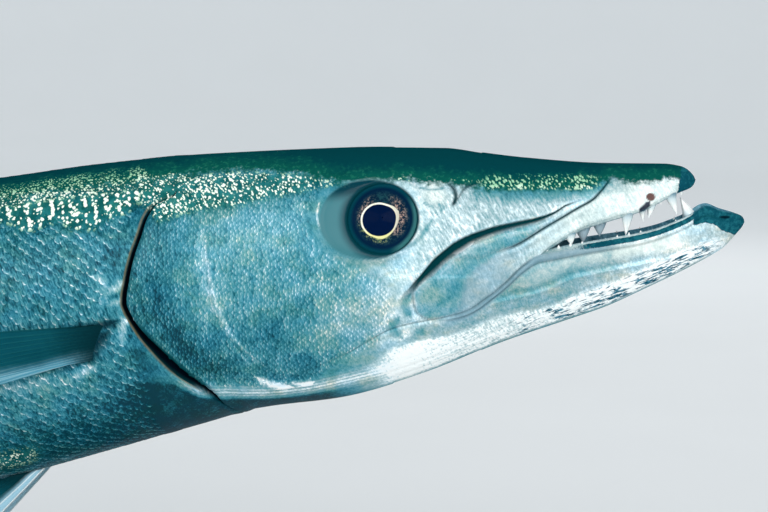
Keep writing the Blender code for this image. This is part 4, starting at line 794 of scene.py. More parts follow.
def make_skin(look):
    """One skin over head, jaws, trunk and tail stalk, with the inside of the mouth."""
    parts, corners, coordinates = [], [], []
    offset = 0
    values = {name: [] for name in (*MARK_NAMES, "slit_shadow", "mouth", "tone", "edge")}
    sheets = {}
    for part, rows, low, high in (("upper", UPPER_ROWS, 0.01, 0.56), ("lower", LOWER_ROWS, 0.58, 0.86)):
        distance, across, height, sunk = skin_sheet(part, rows)
        points = place(distance, across, height)
        normals = grid_normals(points) * (-1 if part == "upper" else 1)
        shaped = relief(distance, height, across) * np.where(sunk > 0, 0, 1)
        points = points + normals * shaped[..., None]
        numbers = offset + np.arange(distance.size).reshape(distance.shape)
        offset += distance.size
        found = {-1: marks(distance, height, -1), 1: marks(distance, height, 1)}
        for name in MARK_NAMES:
            values[name].append(np.where(across > 0, found[1][name], found[-1][name]).ravel())
        # How far a point lies down in the gill opening, for the painted shadow there
        values["slit_shadow"].append(ease(sunk, 0.0004, 0.0016).ravel())
        values["mouth"].append(np.zeros(distance.size))
        values["tone"].append(np.full(distance.size, 0.5))
        values["edge"].append(np.full(distance.size, 0.68))
        sheets[part] = dict(points=points, numbers=numbers, distance=distance, height=height, low=low, high=high)
    upper, lower = sheets["upper"], sheets["lower"]
    lead = lower["numbers"].shape[0] - upper["numbers"].shape[0]
    joined = upper["distance"][:, 0] >= CORNER
    for column in (0, -1):
        lower["numbers"][lead:, column][joined] = upper["numbers"][joined, column]
    for part in ("upper", "lower"):
        sheet = sheets[part]
        faces = grid_faces(sheet["numbers"])
        corners.append(faces[:, ::-1] if part == "upper" else faces)
        u = np.linspace(0.005, 0.995, sheet["numbers"].shape[0])[:, None] * np.ones(sheet["numbers"].shape[1])
        v = np.linspace(sheet["low"], sheet["high"], sheet["numbers"].shape[1])[None, :] * np.ones(u.shape)
        place_uv = np.stack([u, v], axis=-1)
        quads = grid_faces(np.arange(u.size).reshape(u.shape))
        quads = quads[:, ::-1] if part == "upper" else quads
        coordinates.append(place_uv.reshape(-1, 2)[quads].reshape(-1, 2))
        parts.append(sheet["points"].reshape(-1, 3))

    for part, sheet, rise, ribs, low, high in (("upper", upper, mouth_roof, 5, 0.88, 0.93),
                                               ("lower", lower, mouth_floor, 3, 0.945, 0.99)):
        inside = sheet["distance"][:, 0] <= THROAT
        distance = sheet["distance"][inside, 0]
        lips = sheet["points"][inside][:, 0]
        half_lip, lip = np.abs(lips[:, 1]), lips[:, 2] - TIP_HEIGHT
        across_distance, across, height = mouth_sheet(distance, half_lip, lip, rise(distance), ribs)
        if part == "lower":
            crown = 0.0012 * ease(distance, 0.016, 0.007)[:, None] * (1 - (across / half_lip[:, None]) ** 2)
            height = height + crown
        points = place(across_distance, across, height)
        numbers = offset + np.arange(points.shape[0] * points.shape[1]).reshape(points.shape[:2])
        offset += numbers.size
        numbers[:, 0], numbers[:, -1] = sheet["numbers"][inside, 0], sheet["numbers"][inside, -1]
        faces = grid_faces(numbers)
        corners.append(faces if part == "upper" else faces[:, ::-1])
        u = np.linspace(0.005, 0.4, points.shape[0])[:, None] * np.ones(points.shape[1])
        v = np.linspace(low, high, points.shape[1])[None, :] * np.ones(u.shape)
        quads = grid_faces(np.arange(u.size).reshape(u.shape))
        quads = quads if part == "upper" else quads[:, ::-1]
        coordinates.append(np.stack([u, v], axis=-1).reshape(-1, 2)[quads].reshape(-1, 2))
        parts.append(points.reshape(-1, 3))
        found = marks(across_distance, height)
        for name in MARK_NAMES:
            values[name].append(found[name].ravel())
        lip_share = np.abs(across / half_lip[:, None])
        tip_solid = ease(distance, 0.006, 0.012)[:, None] if part == "lower" else np.ones((len(distance), 1))
        values["mouth"].append((ease(lip_share, 0.96, 0.84) * tip_solid).ravel())
        values["slit_shadow"].append(np.zeros(across.size))
        values["tone"].append(np.full(across.size, 0.5))
        values["edge"].append(np.zeros(across.size))

        # The jaw's tip is closed by a fan between its first station and the mouth's first row
        ring = np.concatenate([sheet["numbers"][0], numbers[0][::-1][1:-1]])
        middle = offset
        offset += 1
        rim = sheet["points"][0]
        parts.append((rim.mean(axis=0) + [0.0002, 0, 0])[None, :])
        at = marks(np.array([distance[0]]), np.array([float(rim[:, 2].mean()) - TIP_HEIGHT]))
        for name in MARK_NAMES:
            values[name].append(at[name])
        for name, number in (("mouth", 0.0), ("slit_shadow", 0.0), ("tone", 0.5), ("edge", 0.0)):
            values[name].append(np.array([number]))
        fan = np.stack([ring, np.roll(ring, -1), np.full(len(ring), middle)], axis=1)
        corners.append(fan if part == "lower" else fan[:, ::-1])
        coordinates.append(np.tile([[0.5, high], [0.501, high], [0.5, high - 0.001]], (len(fan), 1)))

    # The end of the tail stalk
    last = np.concatenate([upper["numbers"][-1], lower["numbers"][-1][::-1][1:-1]])
    end_points = np.concatenate([upper["points"][-1], lower["points"][-1]])
    parts.append(end_points.mean(axis=0)[None, :])
    for name in values:
        values[name].append(np.array([0.3]) if name == "light" else np.array([0.0]))
    corners.append(np.stack([last, np.roll(last, -1), np.full(len(last), offset)], axis=1))
    coordinates.append(np.tile([[0.6, 0.9], [0.601, 0.9], [0.6, 0.901]], (len(last), 1)))

    points = np.concatenate(parts)
    values = {name: np.concatenate(value) for name, value in values.items()}
    used = np.unique(np.concatenate([c.ravel() for c in corners]))
    fresh = np.zeros(len(points), int)
    fresh[used] = np.arange(len(used))
    corners = [fresh[c] for c in corners]
    skin = mesh_piece("skin", points[used], corners, look,
                      {name: value[used] for name, value in values.items()}, coordinates)
    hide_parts("upper_jaw", "lower_jaw", "head", "gill_cover_right", "gill_cover_left", "maxilla_right",
                "maxilla_left", "eyelid_right", "eyelid_left", "torso_front", "torso_middle", "torso_rear",
                "tail_stalk")
    return skin


# Scales

def surface(distance, turn, side, lift):
    """Points on the finished skin at a distance and a turn round the section, moved out by lift."""
    step_along, step_round = 0.0006, 0.006
    turn = np.clip(turn, 0.012, math.pi - 0.012)

    def bare(d, t):
        across, height = section_point(d, t)
        return place(d, side * with_lids(d, height, across), height)

    here = bare(distance, turn)
    along = bare(distance + step_along, turn) - here
    round_ = bare(distance, turn + step_round) - here
    normal = np.cross(along, round_) * -side
    normal /= np.maximum(np.linalg.norm(normal, axis=-1, keepdims=True), 1e-12)
    across, height = section_point(distance, turn)
    out = relief(distance, height, side * across) + lift
    return here + normal * out[..., None]


# A scale from its root to its free edge: place along it, half width, and height over the skin
SCALE_ROWS = ((0.0, 0.30, -0.25), (0.36, 0.86, 0.42), (0.74, 1.0, 0.86), (0.93, 0.72, 1.0), (1.0, 0.32, 0.60),
              (1.01, 0.30, -0.6))


def scale_piece(name, roots, turns, side, long, wide, lift, columns, look, seed, bake_span, tilt=0.0):
    """A joined mesh of scales. roots and turns say where each is rooted, long and wide are its sizes, and
    tilt moves the painted highlight on each rim down."""
    draw = np.random.default_rng(seed)
    count = len(roots)
    rows = np.array(SCALE_ROWS)
    across = np.linspace(-1, 1, columns)
    step = 0.01
    near_across, near_height = section_point(roots, turns)
    next_across, next_height = section_point(roots, turns + step)
    arc = np.hypot(next_across - near_across, next_height - near_height) / step

    tone = draw.random(count)
    stand = 1 + 0.35 * (draw.random(count) - 0.5)
    roll = 0.55 * (draw.random(count) - 0.5)
    sway = 0.10 * (draw.random(count) - 0.5)

    t = rows[:, 0][None, :, None]
    half = rows[:, 1][None, :, None] * across[None, None, :]
    crown = 1 - 0.16 * across[None, None, :] ** 2
    along = long[:, None, None] * (t - 0.30 - 0.06 * across[None, None, :] ** 2 * t)
    sideways = wide[:, None, None] * (half + sway[:, None, None] * t)
    distance = roots[:, None, None] + along
    turn = turns[:, None, None] + sideways / arc[:, None, None]
    over = lift[:, None, None] * stand[:, None, None] * (
        rows[:, 2][None, :, None] * crown + roll[:, None, None] * half * t)
    points = surface(distance, turn, side, over)

    numbers = np.arange(points[..., 0].size).reshape(points.shape[:3])
    here, down = numbers[:, :-1, :-1], numbers[:, 1:, :-1]
    down_next, next_ = numbers[:, 1:, 1:], numbers[:, :-1, 1:]
    faces = np.stack([here, next_, down_next, down] if side < 0 else [here, down, down_next, next_], axis=-1)
    faces = faces.reshape(-1, 4)

    _, height = section_point(distance, np.clip(turn, 0, math.pi))
    shape = points.shape[:3]
    values = marks(distance, height, side)
    values["tone"] = np.broadcast_to(tone[:, None, None], shape)
    # edge runs to 1 at each scale's free rim, where the colours paint a highlight; with tilt the highlight sits low on
    # the rim
    rim = t * (1 - (0.10 if tilt else 0.055) * (across[None, None, :] - tilt) ** 2)
    if tilt:
        rim = np.maximum(rim, ease(t, 0.60, 0.76) * (0.72 + 0.28 * across[None, None, :]))
    values["edge"] = np.broadcast_to(np.maximum(1 - (1 + tilt * 1.4) * (1 - rim), 0), shape)
    values["slit_shadow"] = np.zeros(shape)
    values["mouth"] = np.zeros(shape)

    first, last = bake_span
    u = 0.01 + 0.98 * (roots - first) / (last - first)
    v = 0.01 + 0.98 * turns / math.pi
    patch = 0.0015
    uv = np.stack(np.broadcast_arrays(u[:, None, None] + patch * (2 * t - 1),
                                      v[:, None, None] + patch * across[None, None, :] + 0 * t), axis=-1)
    piece = mesh_piece(name, points.reshape(-1, 3), [faces], look, values,
                       [uv.reshape(-1, 2)[faces].reshape(-1, 2)])
    return piece


def body_roots(draw):
    """Roots of the trunk's scales: staggered columns whose spacing follows the girth."""
    roots, turns, longs, wides = [], [], [], []
    column, a = 0, 0.2585
    while a < 0.930:
        fine = np.linspace(0, math.pi, 400)
        across, height = section_point(a, fine)
        run = np.concatenate([[0], np.cumsum(np.hypot(np.diff(across), np.diff(height)))])
        pitch = run[-1] / SCALE_LANES
        at = (np.arange(SCALE_LANES) + (0.25 if column % 2 else 0.75)) * pitch
        turn = np.interp(at, run, fine)
        jitter = 0.06 * pitch
        root = a + jitter * draw.standard_normal(SCALE_LANES)
        root += 0.006 * np.sin((turn - 0.3) * 1.1) * ease(a, 0.33, 0.27)
        roots.append(root)
        turns.append(turn + 0.05 * pitch / run[-1] * math.pi * draw.standard_normal(SCALE_LANES))
        longs.append(np.full(SCALE_LANES, 2.0 * pitch))
        wides.append(np.full(SCALE_LANES, 0.60 * pitch))
        a += 0.66 * pitch
        column += 1
    return (np.concatenate(x) for x in (roots, turns, longs, wides))


def cheek_roots(draw):
    """Roots of the small scales on the cheek, the gill covers and behind the eye."""
    pitch_along, pitch_round = 0.00265, 0.00235
    roots, turns = [], []
    a, column = 0.154, 0
    while a < 0.276:
        fine = np.linspace(0, math.pi, 500)
        across, height = section_point(a, fine)
        run = np.concatenate([[0], np.cumsum(np.hypot(np.diff(across), np.diff(height)))])
        at = np.arange(0.5 if column % 2 else 1.0, run[-1] / pitch_round) * pitch_round
        turn = np.interp(at, run, fine)
        lean = 0.0035 * np.sin(turn * 1.3)
        roots.append(a - lean + 0.00030 * draw.standard_normal(len(turn)))
        turns.append(turn + 0.0030 * draw.standard_normal(len(turn)))
        a += pitch_along * 0.5
        column += 1
    return np.concatenate(roots), np.concatenate(turns)


SCALE_CUTS = (0.20, 0.36, 0.50, 0.64, 0.78, 1.0)


def make_scales(look):
    """Scales over the trunk in several lengths, and finer ones on the cheeks and gill covers."""
    for side, word in ((-1, "right"), (1, "left")):
        draw = np.random.default_rng(410 + side)
        roots, turns, longs, wides = body_roots(draw)
        _, height = section_point(roots, turns)
        behind = roots - gill_shoulder(height)
        nape = height > 0.012
        keep = (behind > 0.0035) | (nape & (roots > 0.262))
        keep &= ~((height < -0.070) & (behind < 0.006))
        roots, turns, longs, wides = (x[keep] for x in (roots, turns, longs, wides))
        lifts = 0.055 * wides + 0.00010
        for number, (low, high) in enumerate(zip(SCALE_CUTS, SCALE_CUTS[1:]), 1):
            part = (roots >= low) & (roots < high)
            scale_piece(f"body_scales_{word}_{number}", roots[part], turns[part], side, longs[part],
                        wides[part], lifts[part], 5, look, 900 + 10 * number + side, (0.22, 0.95), 0.6)
        roots, turns = cheek_roots(draw)
        _, height = section_point(roots, turns)
        cover_edge = gill_shoulder(height) - gill_slit(height)
        keep = (roots < cover_edge - 0.0022) & (scaled(roots, height) > 0.5)
        roots, turns, height = roots[keep], turns[keep], height[keep]
        size = 1 - 0.25 * ease(roots, 0.20, 0.165)
        size = size * (0.9 + 0.2 * draw.random(len(roots)))
        scale_piece(f"cheek_scales_{word}", roots, turns, side, 0.0030 * size, 0.00125 * size,
                    0.00013 * size, 5, look, 700 + side, (0.14, 0.29))


# Eyes

def make_eye(side, word, look):
    """A domed eye. Its colours follow the place on it, and the pupil is a little pear shaped."""
    around, rings = 128, 64
    turn = np.arange(around) * 2 * math.pi / around
    share = np.concatenate([np.linspace(0.0, 1.0, rings)[1:], [1.03, 1.03]])
    radius = EYE_RADIUS * share[:, None]
    distance = EYE_DISTANCE + radius * np.cos(turn)
    height = EYE_HEIGHT + radius * np.sin(turn)
    dome = EYE_BULGE * np.sqrt(np.maximum(0, 1 - np.minimum(share, 1) ** 2)) - 0.0008 * share
    lens = 0.0006 * hump(share, 0.62)
    dome = (dome + lens)[:, None] * np.ones(around)
    dome[-1] -= 0.004
    pupil_a, pupil_h = 0.1640, 0.0008
    away = np.hypot(distance - pupil_a, height - pupil_h)
    point = np.arctan2(height - pupil_h, -(distance - pupil_a))
    edge = 0.0071 + 0.00055 * hump(point - 0.55, 0.75) + 0.0002 * np.cos(2 * point + 0.5)
    outside = away - edge
    dome += 0.00025 * hump(outside - 0.0004, 0.0008) * (share[:, None] < 1)
    points = eye_plane(distance, height, side, dome)
    centre_out = EYE_BULGE + 0.0006
    centre = eye_plane(np.array([EYE_DISTANCE]), np.array([EYE_HEIGHT]), side, centre_out)
    numbers = 1 + np.arange(distance.size).reshape(distance.shape)
    quads = grid_faces(numbers, closed=True)
    fan = np.stack([numbers[0], np.roll(numbers[0], -1), np.zeros(around, int)], axis=1)
    if side > 0:
        quads = quads[:, ::-1]
        fan = fan[:, ::-1]
    fore = -(distance - EYE_DISTANCE) / EYE_RADIUS
    high = (height - EYE_HEIGHT) / EYE_RADIUS
    thick = 0.00095 + 0.0010 * hump(point - 0.35, 0.75) + 0.0006 * hump(point + 1.35, 0.6)
    values = {
        "from_pupil": np.concatenate([[-7.0], outside.ravel() / MM]),
        "ring": np.concatenate([[-7.0], (outside / thick).ravel()]),
        "out": np.concatenate([[0.0], np.broadcast_to(share[:, None], distance.shape).ravel()]),
        "fore": np.concatenate([[0.0], fore.ravel()]),
        "high": np.concatenate([[0.0], high.ravel()]),
    }
    eye = mesh_piece(f"eyeball_{word}", np.concatenate([centre, points.reshape(-1, 3)]),
                     [quads, fan[:, ::-1]], look, values)
    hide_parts(f"eye_{word}")
    return eye


# Teeth

def tooth(side, distance, length, width, lean, inset, jaw):
    """Points and faces of one flattened, pointed tooth, with its root sunk in the jaw."""
    upper = jaw == "upper"
    lip = float((upper_lip if upper else lower_lip)(distance))
    reach = float(side_reach(distance, lip, jaw)) - inset
    down = -1 if upper else 1
    around = 18
    levels = np.concatenate([[-TOOTH_ROOT / length], np.linspace(0, 0.985, 14)])
    turn = np.arange(around) * 2 * math.pi / around
    level = levels[:, None]
    grown = np.clip(level, 0, 1)
    share = np.where(level < 0, 1.04, (1 - grown ** 1.35) * (1 + 0.05 * hump(grown, 0.2)))
    long = np.sign(np.cos(turn)) * np.abs(np.cos(turn)) ** 0.85
    flat = np.sign(np.sin(turn)) * np.abs(np.sin(turn)) ** 1.15
    points = place(
        distance - lean * grown ** 1.25 + 0.5 * width * share * long,
        side * (reach - 0.08 * length * grown ** 1.6 + 0.32 * width * share * flat),
        lip + down * level * length + 0 * turn,
    )
    tip = place(np.array([distance - lean]), side * (reach - 0.08 * length), lip + down * length)
    numbers = np.arange(len(levels) * around).reshape(len(levels), around)
    quads = grid_faces(numbers, closed=True)
    fan = np.stack([numbers[-1], np.roll(numbers[-1], -1), np.full(around, numbers.size)], axis=1)
    base = np.stack([np.roll(numbers[0], -1), numbers[0], np.full(around, numbers.size + 1)], axis=1)
    under = points[0].mean(axis=0)[None, :]
    turned = (side > 0) == upper
    if turned:
        quads, fan, base = quads[:, ::-1], fan[:, ::-1], base[:, ::-1]
    grown_at = np.concatenate([np.broadcast_to(grown, (len(levels), around)).ravel(), [1.0, 0.0]])
    return np.concatenate([points.reshape(-1, 3), tip, under]), quads, np.concatenate([fan, base]), grown_at


def make_teeth(look):
    """Fangs, cutting teeth and the lower jaw's low row, each jaw's as one piece."""
    for jaw in ("upper", "lower"):
        points, quads, fans, grown, inner = [], [], [], [], []
        offset = 0
        for side in (-1, 1):
            for row in tooth_rows(jaw):
                made = tooth(side, *row, jaw)
                points.append(made[0])
                quads.append(made[1] + offset)
                fans.append(made[2] + offset)
                grown.append(made[3])
                # Teeth set far in from the lip are marked for painted shade
                inner.append(np.full(len(made[0]), float(row[4] > 0.005)))
                offset += len(made[0])
        mesh_piece(f"{jaw}_teeth", np.concatenate(points), [np.concatenate(quads), np.concatenate(fans)],
                   look, {"grown": np.concatenate(grown), "inner": np.concatenate(inner)})


def tooth_rows(jaw):
    """Distance, length, width, lean and inset of each tooth on one side of a jaw."""
    if jaw == "upper":
        return [tuple(v * MM for v in row) for row in UPPER_TEETH]
    rows = [tuple(v * MM for v in LOWER_FANG)]
    for k in range(LOWER_TEETH_COUNT):
        distance = LOWER_TEETH_FROM + (LOWER_TEETH_TO - LOWER_TEETH_FROM) * k / (LOWER_TEETH_COUNT - 1)
        size = 1 + 0.2 * math.sin(5.1 * k)
        rows.append((distance, LOWER_TOOTH_LENGTH * size, LOWER_TOOTH_WIDTH * size, 0.0, LOWER_TOOTH_INSET))
    return rows


# Fins

def fin_thickness(share, out, rays, flesh, ray_root, ray_tip, membrane, stout):
    """Full thickness of a fin at a place: flesh at its base, branching rays with joints, and membrane."""
    place_in = share * (rays - 1)
    nearest = np.round(place_in)
    from_ray = np.abs(place_in - nearest)
    branch = ease(out, 0.42, 0.75)
    spread = 0.16 * branch * (nearest > stout - 0.5)
    lone = hump(from_ray, 0.20 * (1 - 0.35 * out))
    forked = hump(from_ray - spread, 0.13)
    ray = np.maximum(lone * (1 - branch * (nearest > stout - 0.5)), forked)
    joints = 1 - 0.16 * hump(np.mod(out * 26, 1) - 0.5, 0.22) * (out > 0.25) * (nearest > stout - 0.5)
    size = (ray_root + (ray_tip - ray_root) * out) * np.where(nearest < stout, 1.6, 1.0)
    base = flesh * np.maximum(0, 1 - out / 0.24) ** 2 * (0.35 + 0.65 * ease(out, 0, 0.05))
    return np.maximum(base, membrane + (size - membrane).clip(0) * ray * joints), ray


def fin_piece(name, middle, spread, rays, thickness, look, replaced, notch, stout=0, bow=0.0, seed=0,
              columns_each=8, rows=46, tips=0.0, lead=0.0, low=0.0):
    """A fin from its middle sheet. middle(share, out) gives points, and spread the way its thickness lies."""
    draw = np.random.default_rng(seed)
    columns = (rays - 1) * columns_each + 1
    share = np.linspace(0, 1, columns)[:, None] * np.ones(rows)
    out = np.linspace(0, 1, rows)[None, :] * np.ones((columns, 1))
    place_in = share * (rays - 1)
    from_ray = np.abs(place_in - np.round(place_in))
    ragged = 0.35 * draw.random(columns)[:, None] * hump(from_ray - 0.5, 0.6)
    reach = out * (1 - notch * (1 - hump(from_ray, 0.5)) * (0.7 + ragged))
    sheet = middle(share, reach)
    sheet[..., 0] += bow * 4 * reach * (1 - reach)
    full, ray = fin_thickness(share, reach, rays, *thickness, stout)
    ripple = 0.0009 * np.sin(share * rays * 1.7 + 2.2 * reach) * reach ** 1.5
    spread = np.broadcast_to(spread(share, reach) if callable(spread) else np.asarray(spread, float), sheet.shape)
    sheet = sheet + spread * ripple[..., None]
    front = sheet + 0.5 * full[..., None] * spread
    back = sheet - 0.5 * full[..., None] * spread
    count = share.size
    numbers = np.arange(count).reshape(share.shape)
    faces = [grid_faces(numbers), grid_faces(numbers + count)[:, ::-1]]
    rim = np.concatenate([numbers[0, :], numbers[1:, -1], numbers[-1, -2::-1], numbers[-2:0:-1, 0]])
    after = np.roll(rim, -1)
    faces.append(np.stack([after, rim, rim + count, after + count], axis=1))
    values = {"ray": np.tile(ray.ravel(), 2), "out": np.tile(reach.ravel(), 2), "share": np.tile(share.ravel(), 2),
              "white_tip": np.full(2 * count, tips), "pale_lead": np.full(2 * count, lead),
              "lit_low": np.full(2 * count, low)}
    made = mesh_piece(name, np.concatenate([front.reshape(-1, 3), back.reshape(-1, 3)]), faces, look, values)
    turn_outwards(made)
    for node in replaced:
        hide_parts(node)
    return made


def turn_outwards(piece):
    """Turns the faces of a closed piece outwards."""
    shape = bmesh.new()
    shape.from_mesh(piece.data)
    bmesh.ops.recalc_face_normals(shape, faces=shape.faces)
    if shape.calc_volume(signed=True) < 0:
        bmesh.ops.reverse_faces(shape, faces=shape.faces)
    shape.to_mesh(piece.data)
    shape.free()


def blade(points):
    """A smooth curve through points given as (share, distance, height) in millimetres."""
    shares = [1000 * p[0] for p in points]
    distance = curve(*zip(shares, [p[1] for p in points]))
    height = curve(*zip(shares, [p[2] for p in points]))
    return lambda share: place(distance(share), 0.0, height(share))


def between(root, tip):
    """The middle sheet of a fin between its base and its free edge."""
    def middle(share, out):
        return root(share) * (1 - out[..., None]) + tip(share) * out[..., None]
    return middle


def ridge_root(start, end, line, sunk):
    """A fin's base along the back or the keel, sunk a little into it."""
    def root(share):
        distance = start + (end - start) * share
        return place(distance, 0.0, line(distance) - sunk)
    return root


def make_middle_fins(look):
    """Both dorsal fins, the anal fin and the tail fin."""
    sideways = (0.0, 1.0, 0.0)
    soft = (0.0046, 0.0015, 0.0006, 0.00045)
    fin_piece("first_dorsal", between(
        ridge_root(0.386, 0.462, top_line, 0.0006),
        blade([(0, 419, 82), (0.2, 444, 79), (0.4, 459, 62), (0.6, 468, 42), (0.8, 474, 21), (1, 480, 3)])),
        sideways, 6, (0.0042, 0.0024, 0.0009, 0.0005), look, ["first_dorsal_fin"], 0.20, stout=6,
        columns_each=12, seed=1)
    fin_piece("second_dorsal", between(
        ridge_root(0.655, 0.738, top_line, 0.0006),
        blade([(0, 722, 57), (0.18, 736, 44), (0.45, 744, 10), (0.75, 757, -17), (1, 789, -36)])),
        sideways, 10, soft, look, ["second_dorsal_fin"], 0.06, stout=1, bow=-0.004, seed=2, tips=1.0)
    fin_piece("anal", between(
        ridge_root(0.668, 0.748, bottom_line, -0.0006),
        blade([(0, 738, -233), (0.18, 750, -221), (0.45, 756, -192), (0.75, 769, -172), (1, 799, -161)])),
        sideways, 10, soft, look, ["anal_fin"], 0.06, stout=1, bow=-0.004, seed=3, tips=1.0)

    middle = float(upper_level(STANDARD_LENGTH))
    reach, centre = (STANDARD_LENGTH + TAIL_REACH) / MM, middle / MM
    tail = (0.0090, 0.0028, 0.0007, 0.0005)
    for name, edge, sign, far in (("tail_upper", top_line, 1, 118), ("tail_lower", bottom_line, -1, 114)):
        start = float(edge(STANDARD_LENGTH)) - sign * 0.001

        def root(share, start=start, sign=sign):
            return place(STANDARD_LENGTH - 0.001, 0.0, start + (middle + sign * GAP / 2 - start) * share)

        fin_piece(name, between(root, blade(
            [(0, reach, centre + sign * far), (0.1, reach - 9, centre + sign * (far - 15)),
             (0.3, reach - 45, centre + sign * 73), (0.5, reach - 72, centre + sign * 47),
             (0.75, reach - 94, centre + sign * 23), (1, reach - 106, centre + sign * 0.15)])),
            sideways, 11, tail, look, [name.replace("tail", "tail_fin")], 0.06, stout=1, bow=-0.006,
            seed=5 + sign, rows=60, tips=0.8)


PECTORAL_ROOT = ((0.2820, -0.0450), (0.2905, -0.0605))
PECTORAL_TIPS = ((0, 387, -51.5), (180, 387, -61), (420, 378, -69), (700, 358, -71.5), (1000, 332, -68.5))
PELVIC_ROOT = (0.3225, 0.3370)
PELVIC_ACROSS = (0.0110, 0.0150)
PELVIC_TIPS = ((0, 375, -173), (300, 382, -166), (650, 384, -153), (1000, 378, -141))
PELVIC_SPLAY = 0.016


def make_paired_fins(look):
    """Pectoral fins that lie back along the flanks, and pelvic fins that hang from the belly."""
    tip_a, tip_h = curve(*[p[:2] for p in PECTORAL_TIPS]), curve(*[(p[0], p[2]) for p in PECTORAL_TIPS])
    low_a, low_h = curve(*[p[:2] for p in PELVIC_TIPS]), curve(*[(p[0], p[2]) for p in PELVIC_TIPS])
    for side, word in ((-1, "right"), (1, "left")):
        def along_flank(share, out, side=side):
            (front_a, front_h), (rear_a, rear_h) = PECTORAL_ROOT
            root_a, root_h = front_a + (rear_a - front_a) * share, front_h + (rear_h - front_h) * share
            distance = root_a + (tip_a(share) - root_a) * out
            height = root_h + (tip_h(share) - root_h) * out
            stand = 0.0038 * ease(out, 0, 0.10) - 0.0026 + 0.0125 * out ** 1.5
            return skin_point(distance, height, side, stand)

        def out_of_flank(share, out, side=side):
            sheet = along_flank(share, out, side)
            normals = grid_normals(sheet)
            return normals * np.sign(normals[..., 1:2]) * side

        # low=1.0 gives the pectoral fin painted light on its lower part
        fin_piece(f"pectoral_{word}", along_flank, out_of_flank, 13, (0.0046, 0.0016, 0.0006, 0.0004), look,
                  [f"pectoral_fin_{word}"], 0.05, stout=1, seed=10 + side, low=1.0)

        def root(share, side=side):
            distance = PELVIC_ROOT[0] + (PELVIC_ROOT[1] - PELVIC_ROOT[0]) * share
            reach = PELVIC_ACROSS[0] + (PELVIC_ACROSS[1] - PELVIC_ACROSS[0]) * share
            return place(distance, side * reach, keel_height(distance, reach) - 0.0004)

        def tip(share, side=side):
            return place(low_a(share), side * (PELVIC_ACROSS[1] + PELVIC_SPLAY) + 0 * share, low_h(share))

        fin_piece(f"pelvic_{word}", between(root, tip), (0.0, side * 0.94, 0.34), 6,
                  (0.0036, 0.0018, 0.0008, 0.00045), look, [f"pelvic_fin_{word}"], 0.06, stout=1,
                  seed=20 + side, columns_each=10, tips=0.5, lead=1.0)


# Shader helpers

def add(tree, kind, inputs=None, **settings):
    """A new node. inputs are values, or sockets to link from, by the input's name or number."""
    made = tree.nodes.new(kind)
    for key, value in settings.items():
        setattr(made, key, value)
    for key, value in (inputs or {}).items():
        feed(tree, made.inputs[key], value)
    return made


def feed(tree, socket, value):
    """Links a socket to an input, or sets the input's own value."""
    if isinstance(value, bpy.types.NodeSocket):
        tree.links.new(value, socket)
    elif socket.type == "RGBA" and np.ndim(value) == 0:
        socket.default_value = (value, value, value, 1)
    elif socket.type == "RGBA":
        socket.default_value = (*value[:3], 1)
    else:
        socket.default_value = value


def calc(tree, operation, *values):
    """One step of arithmetic."""
    made = tree.nodes.new("ShaderNodeMath")
    made.operation = operation
    for socket, value in zip(made.inputs, values):
        feed(tree, socket, value)
    return made.outputs[0]


def blend(tree, share, low, high, way="MIX"):
    """A colour between two, by a share."""
    made = add(tree, "ShaderNodeMix", data_type="RGBA", blend_type=way)
    feed(tree, made.inputs[0], share)
    feed(tree, made.inputs[6], low)
    feed(tree, made.inputs[7], high)
    return made.outputs[2]


def between_values(tree, share, low, high):
    """A number between two, by a share."""
    made = add(tree, "ShaderNodeMix", data_type="FLOAT")
    for number, value in ((0, share), (2, low), (3, high)):
        feed(tree, made.inputs[number], value)
    return made.outputs[0]


def ramp(tree, value, *stops):
    """A colour ramp through (place, colour) stops."""
    made = tree.nodes.new("ShaderNodeValToRGB")
    points = made.color_ramp.elements
    while len(points) < len(stops):
        points.new(1.0)
    for point, (at, colour) in zip(points, stops):
        point.position = at
        point.color = (colour,) * 3 + (1,) if np.ndim(colour) == 0 else (*colour, 1)
    tree.links.new(value, made.inputs[0])
    return made.outputs[0]


def step_up(tree, value, low, high):
    """0 below low, 1 above high and smooth between them."""
    made = add(tree, "ShaderNodeMapRange", interpolation_type="SMOOTHSTEP")
    feed(tree, made.inputs[0], value)
    if low < high:
        ends = (low, high, 0.0, 1.0)
    else:
        ends = (high, low, 1.0, 0.0)
    for number, end in enumerate(ends, 1):
        made.inputs[number].default_value = end
    return made.outputs[0]


def noise(tree, where, scale, detail=3.0, rough=0.55, bend=0.0):
    """Soft noise between 0 and 1 with its middle near a half."""
    made = add(tree, "ShaderNodeTexNoise", {"Vector": where, "Scale": scale, "Detail": detail,
                                           "Roughness": rough, "Distortion": bend})
    return made.outputs[0]


def stored(tree, name):
    """A number kept at the points of a mesh."""
    return add(tree, "ShaderNodeAttribute", attribute_name=name).outputs["Fac"]


def object_place(tree, turn=(0.0, 0.0, 0.0), stretch=(1.0, 1.0, 1.0)):
    """Places in the model's own frame, turned and then stretched."""
    where = tree.nodes.new("ShaderNodeTexCoord").outputs["Object"]
    turned = add(tree, "ShaderNodeMapping", {"Vector": where, "Rotation": turn}).outputs[0]
    return add(tree, "ShaderNodeMapping", {"Vector": turned, "Scale": stretch}).outputs[0]


def new_group(name, inputs, outputs):
    """An empty node group with named sockets: (name, kind, value) for inputs, (name, kind) for outputs."""
    tree = bpy.data.node_groups.new(name, "ShaderNodeTree")
    for title, kind, value in inputs:
        socket = tree.interface.new_socket(name=title, in_out="INPUT", socket_type="NodeSocket" + kind)
        socket.default_value = value
    for title, kind in outputs:
        tree.interface.new_socket(name=title, in_out="OUTPUT", socket_type="NodeSocket" + kind)
    return tree, tree.nodes.new("NodeGroupInput"), tree.nodes.new("NodeGroupOutput")


